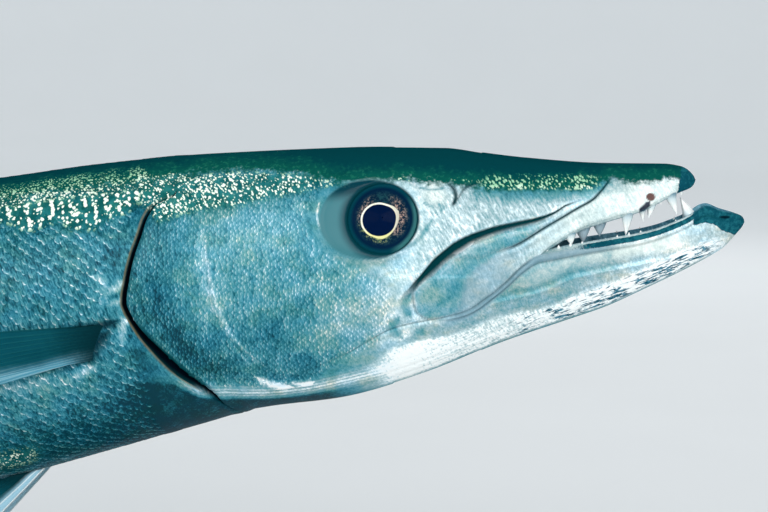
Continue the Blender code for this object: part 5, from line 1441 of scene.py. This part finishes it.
def new_look(name, **fixed):
    """An empty material with a shader whose constant values are set on its own sockets."""
    look = bpy.data.materials.new(name)
    look.use_nodes = True
    tree = look.node_tree
    shader = next(n for n in tree.nodes if n.type == "BSDF_PRINCIPLED")
    for title, value in fixed.items():
        feed(tree, shader.inputs[title.replace("_", " ")], value)
    return look, tree, shader


def bump(tree, shader, height, strength, distance):
    """Feeds a height into the shader's normal."""
    made = add(tree, "ShaderNodeBump", {"Strength": strength, "Distance": distance, "Height": height})
    tree.links.new(made.outputs[0], shader.inputs["Normal"])


# Materials

LIGHT_STOPS = ((0.0, (0.0015, 0.038, 0.056)), (0.20, (0.010, 0.122, 0.168)), (0.40, (0.046, 0.245, 0.300)),
               (0.55, (0.125, 0.340, 0.385)), (0.70, (0.265, 0.450, 0.500)), (0.85, (0.470, 0.650, 0.690)),
               (1.0, (0.93, 0.97, 0.97)))
BACK_COLOUR, BACK_EDGE, BACK_FLECK = (0.0010, 0.046, 0.056), (0.003, 0.085, 0.066), (0.015, 0.170, 0.110)
# The glint colours are painted highlights
GLINT_COLOUR, GLINT_GREEN, GLINT_DIM = (0.91, 0.98, 0.85), (0.32, 0.60, 0.38), (0.030, 0.250, 0.155)
GLINT_GROUND = (0.004, 0.105, 0.098)
CREAM, DEEP_SHADE, LIP_GREY = (0.90, 0.91, 0.78), (0.001, 0.040, 0.048), (0.16, 0.29, 0.36)
LID_GREY, LID_DARK = (0.048, 0.188, 0.215), (0.001, 0.040, 0.058)
TIP_DARK, MOUTH_LOW, MOUTH_HIGH = (0.004, 0.066, 0.096), (0.040, 0.150, 0.210), (0.180, 0.400, 0.500)
DASH_BLUE, INK_AND_SHADE, RIM_GOLD = (0.004, 0.072, 0.110), (0.001, 0.010, 0.018), (0.16, 0.12, 0.05)
SORE_RED, BRUISE_BLUE = (0.085, 0.018, 0.012), (0.0010, 0.006, 0.030)


def swing(tree, value, strength):
    """Moves a noise to swing round nought."""
    return calc(tree, "MULTIPLY", calc(tree, "SUBTRACT", value, 0.5), strength)


def faded(tree, value, *masks):
    """A value taken away where any mask is full."""
    for mask in masks:
        value = calc(tree, "MULTIPLY", value, calc(tree, "SUBTRACT", 1.0, mask))
    return value


def dots(tree, where, ragged):
    """High in the middle of scattered dots, one in each unit of space, with ragged outlines."""
    cells = add(tree, "ShaderNodeTexVoronoi", {"Vector": where, "Scale": 1.0, "Randomness": 1.0})
    return calc(tree, "ADD", calc(tree, "SUBTRACT", 0.5, cells.outputs["Distance"]), ragged)


def glint_pattern(tree, plain, under_back, grain, trunk):
    """Painted glints: scattered flecks on the head and under the back, and slanting columns of bright beads on the
    trunk.
    """
    clump = swing(tree, noise(tree, plain, 120, 3, 0.6), 1.0)
    leaning = object_place(tree, (0, math.radians(-62), 0), (470, 900, 900))
    ragged = calc(tree, "ADD", swing(tree, noise(tree, leaning, 0.75, 4, 0.75, 0.6), 2.0), clump)
    glint_flecks = step_up(tree, dots(tree, leaning, ragged), 0.01, 0.30)
    along = tree.nodes.new("ShaderNodeSeparateXYZ")
    tree.links.new(plain, along.inputs[0])
    drift = swing(tree, noise(tree, plain, 95, 2), 7.0)
    lean = calc(tree, "MULTIPLY", along.outputs[2], 400.0)
    turn = calc(tree, "ADD", calc(tree, "MULTIPLY", along.outputs[0], 2 * math.pi / GLINT_COLUMN_PITCH), drift)
    column = calc(tree, "SINE", calc(tree, "ADD", turn, lean))
    bead = dots(tree, object_place(tree, (0, 0, 0), (560, 560, 430)), swing(tree, grain, 1.2))
    glint_beads = step_up(tree, calc(tree, "ADD", bead, calc(tree, "MULTIPLY", column, 0.20)), 0.03, 0.25)
    low = calc(tree, "MULTIPLY", step_up(tree, under_back, 0.25, 0.65), trunk)
    low = calc(tree, "MULTIPLY", low, step_up(tree, under_back, 2.6, 2.2))
    return calc(tree, "MAXIMUM", faded(tree, glint_flecks, calc(tree, "MULTIPLY", low, 0.85)),
                calc(tree, "MULTIPLY", glint_beads, low))


# Painted glints on the trunk stand in slanting columns this far apart
GLINT_COLUMN_PITCH = 0.0052              # between the columns of bright beads on the trunk
TRUNK_X = TIP_X - 0.272          # where the trunk starts behind the gill opening


def fish_colours():
    """The node group that colours the skin and the scales alike."""
    tree, given, result = new_group(
        "fish colours", (("Scale tone", "Float", 0.5), ("Scale edge", "Float", 0.0)),
        (("Color", "Color"), ("Roughness", "Float"), ("Metallic", "Float"), ("Coat", "Float"), ("Height", "Float")))
    tone, edge = given.outputs[0], given.outputs[1]
    marked = {name: stored(tree, name) for name in (*MARK_NAMES, "mouth", "slit_shadow")}
    plain = object_place(tree)
    along = tree.nodes.new("ShaderNodeSeparateXYZ")
    tree.links.new(plain, along.inputs[0])
    trunk = step_up(tree, along.outputs[0], TRUNK_X + 0.005, TRUNK_X - 0.003)
    broad = noise(tree, plain, 42, 3)
    patch = noise(tree, plain, 150, 4)
    grain = noise(tree, plain, 520, 3, 0.6)
    fine = noise(tree, plain, 1500, 2, 0.6)
    streak = noise(tree, object_place(tree, (0, math.radians(-60), 0), (260, 520, 1000)), 1, 3, 0.6)
    arcs = noise(tree, object_place(tree, (0, math.radians(24), 0), (1300, 1300, 330)), 1, 2, 0.55)

    # How light each place is, with its broad clouds, its patches, each scale's own tone, a painted highlight on each
    # scale's free rim and painted shade towards its covered root
    light = marked["light"]
    for value, strength in ((broad, 0.20), (patch, 0.40), (grain, 0.34), (fine, 0.24), (tone, 0.10)):
        light = calc(tree, "ADD", light, swing(tree, value, strength))
    on_flank = faded(tree, calc(tree, "ADD", 0.40, calc(tree, "MULTIPLY", trunk, 0.5)), marked["bristle"],
                     marked["cream"], marked["lid"])
    light = calc(tree, "ADD", light, calc(tree, "MULTIPLY", swing(tree, arcs, 1.1), on_flank))
    # Painted highlights on the scales' free rims, in patches, and painted shade towards each scale's covered root
    rim = step_up(tree, edge, 0.80, 0.92)
    rim_highlight_patch = calc(tree, "ADD", 0.15, calc(tree, "MULTIPLY", step_up(tree, grain, 0.42, 0.58), 0.45))
    rim_highlight_patch = calc(tree, "ADD", rim_highlight_patch, calc(tree, "MULTIPLY", step_up(tree, patch, 0.44, 0.60), 0.40))
    rim_highlight_patch = calc(tree, "MULTIPLY", rim_highlight_patch, between_values(tree, trunk, 0.34, 0.42))
    light = calc(tree, "ADD", light, calc(tree, "MULTIPLY", rim, rim_highlight_patch))
    light = calc(tree, "ADD", light, swing(tree, step_up(tree, edge, 0.46, 0.90), 0.16))
    light = calc(tree, "ADD", light, calc(tree, "MULTIPLY", swing(tree, streak, 1.05), marked["bristle"]))
    light = calc(tree, "SUBTRACT", light, calc(tree, "MULTIPLY", marked["glint"], 0.26))
    colour = ramp(tree, light, *LIGHT_STOPS)
    ground = blend(tree, step_up(tree, patch, 0.40, 0.62), GLINT_GROUND, (0.020, 0.210, 0.200))
    colour = blend(tree, calc(tree, "MULTIPLY", marked["glint"], 0.80), colour, ground)
    hue = noise(tree, object_place(tree, (0, 0, 0), (75, 75, 110)), 1, 3, 0.6)
    on_body = faded(tree, 1.0, marked["bristle"], marked["cream"], marked["lid"])
    blue = calc(tree, "MULTIPLY", step_up(tree, hue, 0.50, 0.64), on_body)
    green = calc(tree, "MULTIPLY", step_up(tree, hue, 0.50, 0.36), on_body)
    colour = blend(tree, calc(tree, "MULTIPLY", blue, 0.40), colour, (0.66, 0.95, 1.14), "MULTIPLY")
    colour = blend(tree, calc(tree, "MULTIPLY", green, 0.55), colour, (1.25, 1.0, 0.80), "MULTIPLY")

    front = step_up(tree, along.outputs[0], TIP_X - 0.160, TIP_X - 0.120)
    greyer = faded(tree, calc(tree, "MULTIPLY", front, 0.85), step_up(tree, light, 0.72, 0.95))
    colour = blend(tree, greyer, colour, (1.15, 0.98, 0.94), "MULTIPLY")

    # Local colours, from the palest to the darkest
    colour = blend(tree, calc(tree, "MULTIPLY", marked["cream"], 0.5), colour,
                   blend(tree, step_up(tree, light, 0.45, 0.9), LIGHT_STOPS[4][1], CREAM))
    colour = blend(tree, calc(tree, "MULTIPLY", marked["grey"], 0.75), colour, LIP_GREY)
    dash_noise = noise(tree, object_place(tree, (0, math.radians(20), 0), (170, 520, 1050)), 1, 3, 0.6, 0.5)
    dash = calc(tree, "ADD", dash_noise, calc(tree, "MULTIPLY", marked["dash"], 0.15))
    dash = calc(tree, "MULTIPLY", step_up(tree, dash, 0.600, 0.680), marked["bristle"])
    dash = calc(tree, "MULTIPLY", dash, step_up(tree, marked["dash"], 0.02, 0.30))
    dash_tone = blend(tree, step_up(tree, grain, 0.40, 0.60), DASH_BLUE, (0.060, 0.215, 0.300))
    colour = blend(tree, dash, colour, dash_tone)
    lid = blend(tree, marked["lid_dark"], LID_GREY, LID_DARK)
    colour = blend(tree, marked["lid"], colour, lid)
    colour = blend(tree, calc(tree, "MULTIPLY", marked["bar"], 0.55), colour, BACK_COLOUR)

    # The dark back, with a mottled green border
    border = calc(tree, "ADD", marked["under_back"], swing(tree, patch, 0.7))
    border = calc(tree, "ADD", border, swing(tree, grain, 0.6))
    back = step_up(tree, border, 0.32, -0.05)
    green = step_up(tree, border, -0.75, 0.0)
    back_tone = blend(tree, green, BACK_COLOUR, BACK_EDGE)
    freckle = calc(tree, "MULTIPLY", step_up(tree, grain, 0.52, 0.64), calc(tree, "MULTIPLY", green, 0.5))
    back_tone = blend(tree, freckle, back_tone, BACK_FLECK)
    colour = blend(tree, faded(tree, back, marked["lid"]), colour, back_tone)

    # Painted glints of reflected light where the back turns into the flank
    glint_spots = glint_pattern(tree, plain, marked["under_back"], grain, trunk)
    down = calc(tree, "ADD", marked["under_back"], swing(tree, patch, 1.1))
    higher = calc(tree, "ADD", calc(tree, "MULTIPLY", trunk, 0.55), calc(tree, "MULTIPLY", front, 1.6))
    below = step_up(tree, calc(tree, "ADD", down, higher), -0.25, 0.25)
    level = calc(tree, "MULTIPLY", calc(tree, "MULTIPLY", glint_spots, marked["glint"]), below)
    glow = blend(tree, step_up(tree, down, -0.20, 0.40), GLINT_GREEN, GLINT_COLOUR)
    glow = blend(tree, step_up(tree, calc(tree, "ADD", down, calc(tree, "MULTIPLY", front, 1.1)), -0.70, -0.15),
                 GLINT_DIM, glow)
    fringe = blend(tree, step_up(tree, down, -0.60, 0.10), GLINT_DIM, GLINT_GREEN)
    colour = blend(tree, calc(tree, "MULTIPLY", step_up(tree, level, 0.12, 0.50), 0.65), colour, fringe)
    colour = blend(tree, step_up(tree, level, 0.34, 0.78), colour, glow)

    # The jaw's tip, inky blotches, painted shade round the pectoral fin's base and in folds and openings, small wounds,
    # the gill's rim and the inside of the mouth
    tip = step_up(tree, calc(tree, "ADD", marked["tip"], swing(tree, streak, 0.8)), 0.38, 0.62)
    tip_tone = blend(tree, step_up(tree, calc(tree, "ADD", grain, swing(tree, broad, 0.8)), 0.42, 0.70), TIP_DARK,
                     (0.012, 0.128, 0.160))
    colour = blend(tree, tip, colour, tip_tone)
    for name, strength, paint in (("blotch", 0.92, INK_AND_SHADE), ("shade", 0.92, INK_AND_SHADE), ("dark", 1.0, DEEP_SHADE),
                                  ("gold", 0.85, RIM_GOLD), ("bruise", 0.95, BRUISE_BLUE), ("sore", 0.95, SORE_RED)):
        colour = blend(tree, calc(tree, "MULTIPLY", marked[name], strength), colour, paint)
    inner = blend(tree, step_up(tree, calc(tree, "ADD", patch, swing(tree, streak, 0.6)), 0.35, 0.7), MOUTH_LOW,
                  MOUTH_HIGH)
    colour = blend(tree, marked["mouth"], colour, inner)
    # Painted shadow deep inside the gill opening
    colour = blend(tree, marked["slit_shadow"], colour, (0.0008, 0.004, 0.009))
    tree.links.new(colour, result.inputs["Color"])

    rough = calc(tree, "ADD", 0.30, calc(tree, "MULTIPLY", patch, 0.22))
    rough = between_values(tree, back, rough, 0.55)
    rough = between_values(tree, marked["lid"], rough, 0.34)
    rough = between_values(tree, marked["dark"], rough, 0.60)
    tree.links.new(rough, result.inputs["Roughness"])
    metal = calc(tree, "MULTIPLY", step_up(tree, light, 0.15, 0.8), 0.34)
    metal = faded(tree, metal, back, marked["dark"], marked["cream"], marked["mouth"], marked["lid"], marked["grey"],
                  marked["tip"], marked["bristle"])
    tree.links.new(calc(tree, "MAXIMUM", metal, 0.0), result.inputs["Metallic"])
    wet = faded(tree, between_values(tree, back, 0.16, 0.0), marked["dark"], marked["slit_shadow"], marked["mouth"],
                marked["shade"], marked["tip"])
    tree.links.new(wet, result.inputs["Coat"])

    height = calc(tree, "ADD", calc(tree, "MULTIPLY", fine, 0.35), calc(tree, "MULTIPLY", grain, 0.65))
    height = calc(tree, "ADD", height, calc(tree, "MULTIPLY", calc(tree, "MULTIPLY", streak, marked["bristle"]), 1.1))
    height = faded(tree, height, calc(tree, "MULTIPLY", marked["lid"], 0.9))
    tree.links.new(height, result.inputs["Height"])
    return tree


def fish_look(name, colours, tone, edge, strength):
    """The skin's or the scales' material: a wet coat over the shared colours."""
    look, tree, shader = new_look(name, Coat_Roughness=0.22, Specular_IOR_Level=0.0)
    group = add(tree, "ShaderNodeGroup", node_tree=colours)
    feed(tree, group.inputs["Scale tone"], stored(tree, "tone") if tone is None else tone)
    feed(tree, group.inputs["Scale edge"], stored(tree, "edge") if edge is None else edge)
    tree.links.new(group.outputs["Color"], shader.inputs["Base Color"])
    tree.links.new(group.outputs["Roughness"], shader.inputs["Roughness"])
    tree.links.new(group.outputs["Metallic"], shader.inputs["Metallic"])
    tree.links.new(group.outputs["Coat"], shader.inputs["Coat Weight"])
    bump(tree, shader, group.outputs["Height"], strength, 0.0006)
    return look


def eye_look():
    """A glassy eye: navy pupil, pale gold ring, copper and green flecks in a dark iris, and a dark rim."""
    look, tree, shader = new_look("glass eye", Roughness=0.30, Coat_Weight=0.02, Coat_Roughness=0.10,
                                  Specular_IOR_Level=0.0)
    outside, out = stored(tree, "from_pupil"), stored(tree, "out")
    fore, high, ring = stored(tree, "fore"), stored(tree, "high"), stored(tree, "ring")
    plain = object_place(tree)
    mottle = noise(tree, plain, 430, 4, 0.6, 0.4)
    speck = noise(tree, plain, 1500, 2, 0.6)
    mixed = calc(tree, "ADD", calc(tree, "MULTIPLY", mottle, 0.6), calc(tree, "MULTIPLY", speck, 0.4))

    iris = blend(tree, step_up(tree, mixed, 0.42, 0.62), (0.002, 0.014, 0.034), (0.012, 0.060, 0.075))
    by_ring = step_up(tree, out, 0.80, 0.58)
    patches = calc(tree, "MULTIPLY", step_up(tree, mixed, 0.47, 0.60), by_ring)
    fore_patch = calc(tree, "MULTIPLY", step_up(tree, fore, 0.10, 0.45), step_up(tree, high, -0.62, -0.35))
    rear_patch = calc(tree, "MULTIPLY", step_up(tree, fore, -0.15, -0.45), step_up(tree, high, -0.30, 0.05))
    copper = calc(tree, "MULTIPLY", calc(tree, "MAXIMUM", fore_patch, rear_patch), patches)
    iris = blend(tree, calc(tree, "MULTIPLY", copper, 0.85), iris,
                 blend(tree, step_up(tree, speck, 0.40, 0.62), (0.110, 0.050, 0.050), (0.50, 0.34, 0.28)))
    low_rear = calc(tree, "MULTIPLY", step_up(tree, high, 0.00, -0.40), step_up(tree, fore, 0.35, -0.10))
    iris = blend(tree, calc(tree, "MULTIPLY", calc(tree, "MULTIPLY", low_rear, patches), 0.9), iris,
                 blend(tree, step_up(tree, speck, 0.42, 0.60), (0.050, 0.130, 0.055), (0.42, 0.44, 0.16)))
    iris = blend(tree, step_up(tree, out, 0.66, 0.84), iris, (0.001, 0.014, 0.040))
    lid = blend(tree, step_up(tree, fore, 0.20, 0.60), (0.001, 0.048, 0.070), (0.040, 0.170, 0.175))
    lid = blend(tree, step_up(tree, high, 0.20, 0.70), lid, (0.001, 0.048, 0.070))
    iris = blend(tree, step_up(tree, out, 0.84, 0.97), iris, lid)
    gold = blend(tree, step_up(tree, high, -0.20, -0.5), (0.95, 0.93, 0.76), (0.80, 0.76, 0.34))
    gold = blend(tree, calc(tree, "MULTIPLY", step_up(tree, mixed, 0.52, 0.66), 0.30), gold, (0.55, 0.42, 0.28))
    gold = blend(tree, calc(tree, "MULTIPLY", step_up(tree, fore, 0.05, 0.50), 0.55), gold, (0.36, 0.29, 0.22))
    on_ring = step_up(tree, calc(tree, "ADD", ring, swing(tree, mottle, 0.5)), 0.96, 0.68)
    colour = blend(tree, on_ring, iris, gold)
    colour = blend(tree, step_up(tree, outside, 0.10, -0.12), colour, (0.0006, 0.007, 0.036))
    tree.links.new(colour, shader.inputs["Base Color"])
    bump(tree, shader, mixed, 0.10, 0.0002)
    return look


def tooth_look():
    """White teeth, grey blue towards the gum, with fine lengthwise streaks, and painted shade on the inset teeth deep
    in the mouth.
    """
    look, tree, shader = new_look("tooth", Coat_Weight=0.6, Coat_Roughness=0.10, Subsurface_Weight=0.12,
                                  Subsurface_Radius=(0.004, 0.003, 0.003), Subsurface_Scale=0.4)
    grown = stored(tree, "grown")
    streaks = noise(tree, object_place(tree, (0, 0, 0), (900, 900, 120)), 1, 3, 0.6)
    colour = ramp(tree, grown, (0.0, (0.14, 0.26, 0.32)), (0.22, (0.55, 0.66, 0.68)), (0.55, (0.88, 0.90, 0.86)),
                  (1.0, (0.95, 0.96, 0.94)))
    colour = blend(tree, calc(tree, "MULTIPLY", step_up(tree, streaks, 0.50, 0.75), 0.25), colour, (0.35, 0.48, 0.52))
    # Painted shade on the inset teeth, which stand back in the mouth
    colour = blend(tree, calc(tree, "MULTIPLY", stored(tree, "inner"), 0.75), colour, (0.20, 0.34, 0.42))
    tree.links.new(colour, shader.inputs["Base Color"])
    tree.links.new(calc(tree, "ADD", 0.18, calc(tree, "MULTIPLY", streaks, 0.2)), shader.inputs["Roughness"])
    bump(tree, shader, streaks, 0.2, 0.0002)
    return look


def fin_look():
    """Dark, leathery fins: paler rays over a thin dark membrane, with white tips on some, painted light on the
    pectorals' lower part and painted shade at every fin's base.
    """
    look, tree, shader = new_look("fin", Coat_Weight=0.02, Coat_Roughness=0.30, Specular_IOR_Level=0.0)
    ray, out, share = stored(tree, "ray"), stored(tree, "out"), stored(tree, "share")
    plain = object_place(tree)
    cloud = noise(tree, plain, 60, 4, 0.6)
    fine = noise(tree, plain, 900, 3, 0.6)
    membrane = blend(tree, cloud, (0.001, 0.045, 0.066), (0.004, 0.085, 0.110))
    bone = blend(tree, cloud, (0.003, 0.080, 0.098), (0.012, 0.125, 0.140))
    colour = blend(tree, calc(tree, "MULTIPLY", ray, 0.70), membrane, bone)
    # Painted light on the lower part of the pectoral fins
    low = calc(tree, "ADD", share, swing(tree, cloud, 0.25))
    lit_low_part = calc(tree, "MULTIPLY", step_up(tree, low, 0.56, 0.90), stored(tree, "lit_low"))
    colour = blend(tree, lit_low_part, colour, blend(tree, ray, (0.080, 0.270, 0.360), (0.28, 0.50, 0.58)))
    # Painted shade at the fin's base, where it meets the body
    root_shade = step_up(tree, calc(tree, "ADD", out, swing(tree, fine, 0.10)), 0.32, 0.04)
    colour = blend(tree, calc(tree, "MULTIPLY", root_shade, 0.92), colour, (0.001, 0.020, 0.026))
    edge = calc(tree, "ADD", out, calc(tree, "MULTIPLY", calc(tree, "SUBTRACT", cloud, 0.5), 0.25))
    white = calc(tree, "MULTIPLY", step_up(tree, edge, 0.78, 0.90), stored(tree, "white_tip"))
    tips = calc(tree, "MAXIMUM", step_up(tree, share, 0.16, 0.04), step_up(tree, share, 0.90, 0.98))
    colour = blend(tree, calc(tree, "MULTIPLY", white, tips), colour, (0.78, 0.84, 0.82))
    lead = step_up(tree, calc(tree, "ADD", share, swing(tree, cloud, 0.20)), 0.42, 0.16)
    lead = calc(tree, "MULTIPLY", lead, stored(tree, "pale_lead"))
    colour = blend(tree, lead, colour, blend(tree, ray, (0.30, 0.50, 0.60), (0.74, 0.84, 0.86)))
    tree.links.new(colour, shader.inputs["Base Color"])
    rough = calc(tree, "ADD", 0.32, calc(tree, "MULTIPLY", fine, 0.22))
    tree.links.new(rough, shader.inputs["Roughness"])
    bump(tree, shader, calc(tree, "ADD", fine, calc(tree, "MULTIPLY", ray, 0.5)), 0.35, 0.0004)
    return look


def wood_look():
    """Black painted wood: the grain shows through, and the paint is a little worn."""
    look, tree, shader = new_look("black painted wood", Coat_Weight=0.3, Coat_Roughness=0.25)
    lines = noise(tree, object_place(tree, (0, 0, 0), (6, 90, 90)), 1, 6, 0.65, 0.6)
    wear = noise(tree, object_place(tree), 24, 4)
    colour = blend(tree, step_up(tree, lines, 0.35, 0.7), (0.010, 0.011, 0.012), (0.024, 0.025, 0.027))
    colour = blend(tree, calc(tree, "MULTIPLY", step_up(tree, wear, 0.58, 0.8), 0.4), colour, (0.045, 0.044, 0.042))
    tree.links.new(colour, shader.inputs["Base Color"])
    tree.links.new(calc(tree, "ADD", 0.34, calc(tree, "MULTIPLY", wear, 0.2)), shader.inputs["Roughness"])
    bump(tree, shader, lines, 0.25, 0.0004)
    return look


def steel_look():
    """Brushed steel, with fine rings round each rod."""
    look, tree, shader = new_look("brushed steel", Metallic=1.0, Anisotropic=0.4)
    rings = noise(tree, object_place(tree, (0, 0, 0), (40, 40, 3000)), 1, 3, 0.6)
    smudge = noise(tree, object_place(tree), 60, 3)
    colour = blend(tree, rings, (0.46, 0.48, 0.50), (0.66, 0.68, 0.69))
    tree.links.new(colour, shader.inputs["Base Color"])
    tree.links.new(calc(tree, "ADD", 0.20, calc(tree, "MULTIPLY", smudge, 0.2)), shader.inputs["Roughness"])
    bump(tree, shader, rings, 0.12, 0.0001)
    return look


# Building it

colours = fish_colours()
skin_look = fish_look("barracuda skin", colours, None, None, 0.5)
scale_look = fish_look("barracuda scales", colours, None, None, 0.35)
eye_material, tooth_material, fin_material = eye_look(), tooth_look(), fin_look()

make_skin(skin_look)
make_scales(scale_look)
make_eye(-1, "right", eye_material)
make_eye(1, "left", eye_material)
make_teeth(tooth_material)
make_middle_fins(fin_material)
make_paired_fins(fin_material)

wood, steel = wood_look(), steel_look()
for node, look in (("stand_base", wood), ("stand_rod_front", steel), ("stand_rod_rear", steel)):
    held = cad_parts[node]
    if not held.material_slots:
        held.data.materials.append(look)
    for each in held.material_slots:
        each.material = look


# Stage, light and camera

def studio_floor():
    """A plain pale floor that curves up into a round backdrop on every side, a little lit from within far out."""
    look, tree, shader = new_look("studio paper", Roughness=0.9, Specular_IOR_Level=0.1, Emission_Strength=1.0)
    shade = noise(tree, object_place(tree), 3, 2)
    tree.links.new(blend(tree, shade, (0.75, 0.77, 0.78), (0.79, 0.81, 0.82)), shader.inputs["Base Color"])
    out = add(tree, "ShaderNodeVectorMath", {0: object_place(tree)}, operation="LENGTH").outputs["Value"]
    tree.links.new(blend(tree, step_up(tree, out, 1.2, 3.4), (0, 0, 0), (0.25, 0.262, 0.270)),
                   shader.inputs["Emission Color"])
    flat, bend, top = 7.0, 2.0, 5.0
    turn = np.linspace(0, math.pi / 2, 24)
    reach = np.concatenate([[0.02], np.linspace(0.5, flat, 14), flat + bend * np.sin(turn[1:]), [flat + bend]])
    rise = np.concatenate([np.zeros(15), bend * (1 - np.cos(turn[1:])), [top]])
    about = np.linspace(0, 2 * math.pi, 97)[:-1]
    rows = np.array([[(r * math.cos(a), r * math.sin(a), z) for a in about] for r, z in zip(reach, rise)])
    numbers = np.arange(rows.shape[0] * rows.shape[1]).reshape(rows.shape[:2])
    faces = grid_faces(numbers, closed=True).tolist() + [numbers[0].tolist()]
    mesh = bpy.data.meshes.new("studio_floor")
    mesh.from_pydata(rows.reshape(-1, 3).tolist(), [], faces)
    mesh.shade_smooth()
    mesh.materials.append(look)
    floor = bpy.data.objects.new("studio_floor", mesh)
    bpy.context.scene.collection.objects.link(floor)


def lamp(name, place_at, aim, size, power, colour=(1.0, 1.0, 1.0)):
    """A soft rectangular lamp that faces a point."""
    light = bpy.data.lights.new(name, "AREA")
    light.shape = "RECTANGLE"
    light.size, light.size_y = size
    light.energy = power
    light.color = colour
    lit = bpy.data.objects.new(name, light)
    lit.location = place_at
    lit.rotation_euler = (Vector(aim) - Vector(place_at)).to_track_quat("-Z", "Y").to_euler()
    bpy.context.scene.collection.objects.link(lit)


studio_floor()
lamp("key_light", (0.95, -1.50, 0.80), (0.35, 0, 0.24), (1.0, 0.8), 14.5)
lamp("fill_light", (-1.0, -2.6, 1.3), (0.1, 0, 0.22), (2.4, 1.2), 23, (0.92, 0.97, 1.0))
lamp("top_light", (0.1, 0.3, 1.9), (0.1, 0, 0.24), (1.6, 0.8), 7)
lamp("rim_light", (1.5, 1.2, 0.9), (0.4, 0, 0.24), (0.9, 0.9), 3)
lamp("rear_light", (-0.4, 2.6, 1.5), (0.0, 0, 0.24), (2.4, 1.2), 13)
lamp("floor_light", (0.2, 1.9, 2.2), (0.2, 2.0, 0.0), (3.4, 1.6), 12)

world = bpy.data.worlds.new("studio")
world.use_nodes = True
world.node_tree.nodes["Background"].inputs["Color"].default_value = (0.80, 0.86, 0.90, 1)
world.node_tree.nodes["Background"].inputs["Strength"].default_value = 0.38
bpy.context.scene.world = world
bpy.context.scene.view_settings.view_transform = "Standard"

lens = bpy.data.cameras.new("camera")
lens.lens, lens.sensor_width, lens.clip_start = LENS, SENSOR, 0.01
camera = bpy.data.objects.new("camera", lens)
toward = Vector((math.sin(VIEW_AZIMUTH) * math.cos(VIEW_ELEVATION),
                 -math.cos(VIEW_AZIMUTH) * math.cos(VIEW_ELEVATION), math.sin(VIEW_ELEVATION)))
camera.location = Vector(VIEW_TARGET) + VIEW_DISTANCE * toward
camera.rotation_euler = (-toward).to_track_quat("-Z", "Y").to_euler()
bpy.context.scene.collection.objects.link(camera)
bpy.context.scene.camera = camera
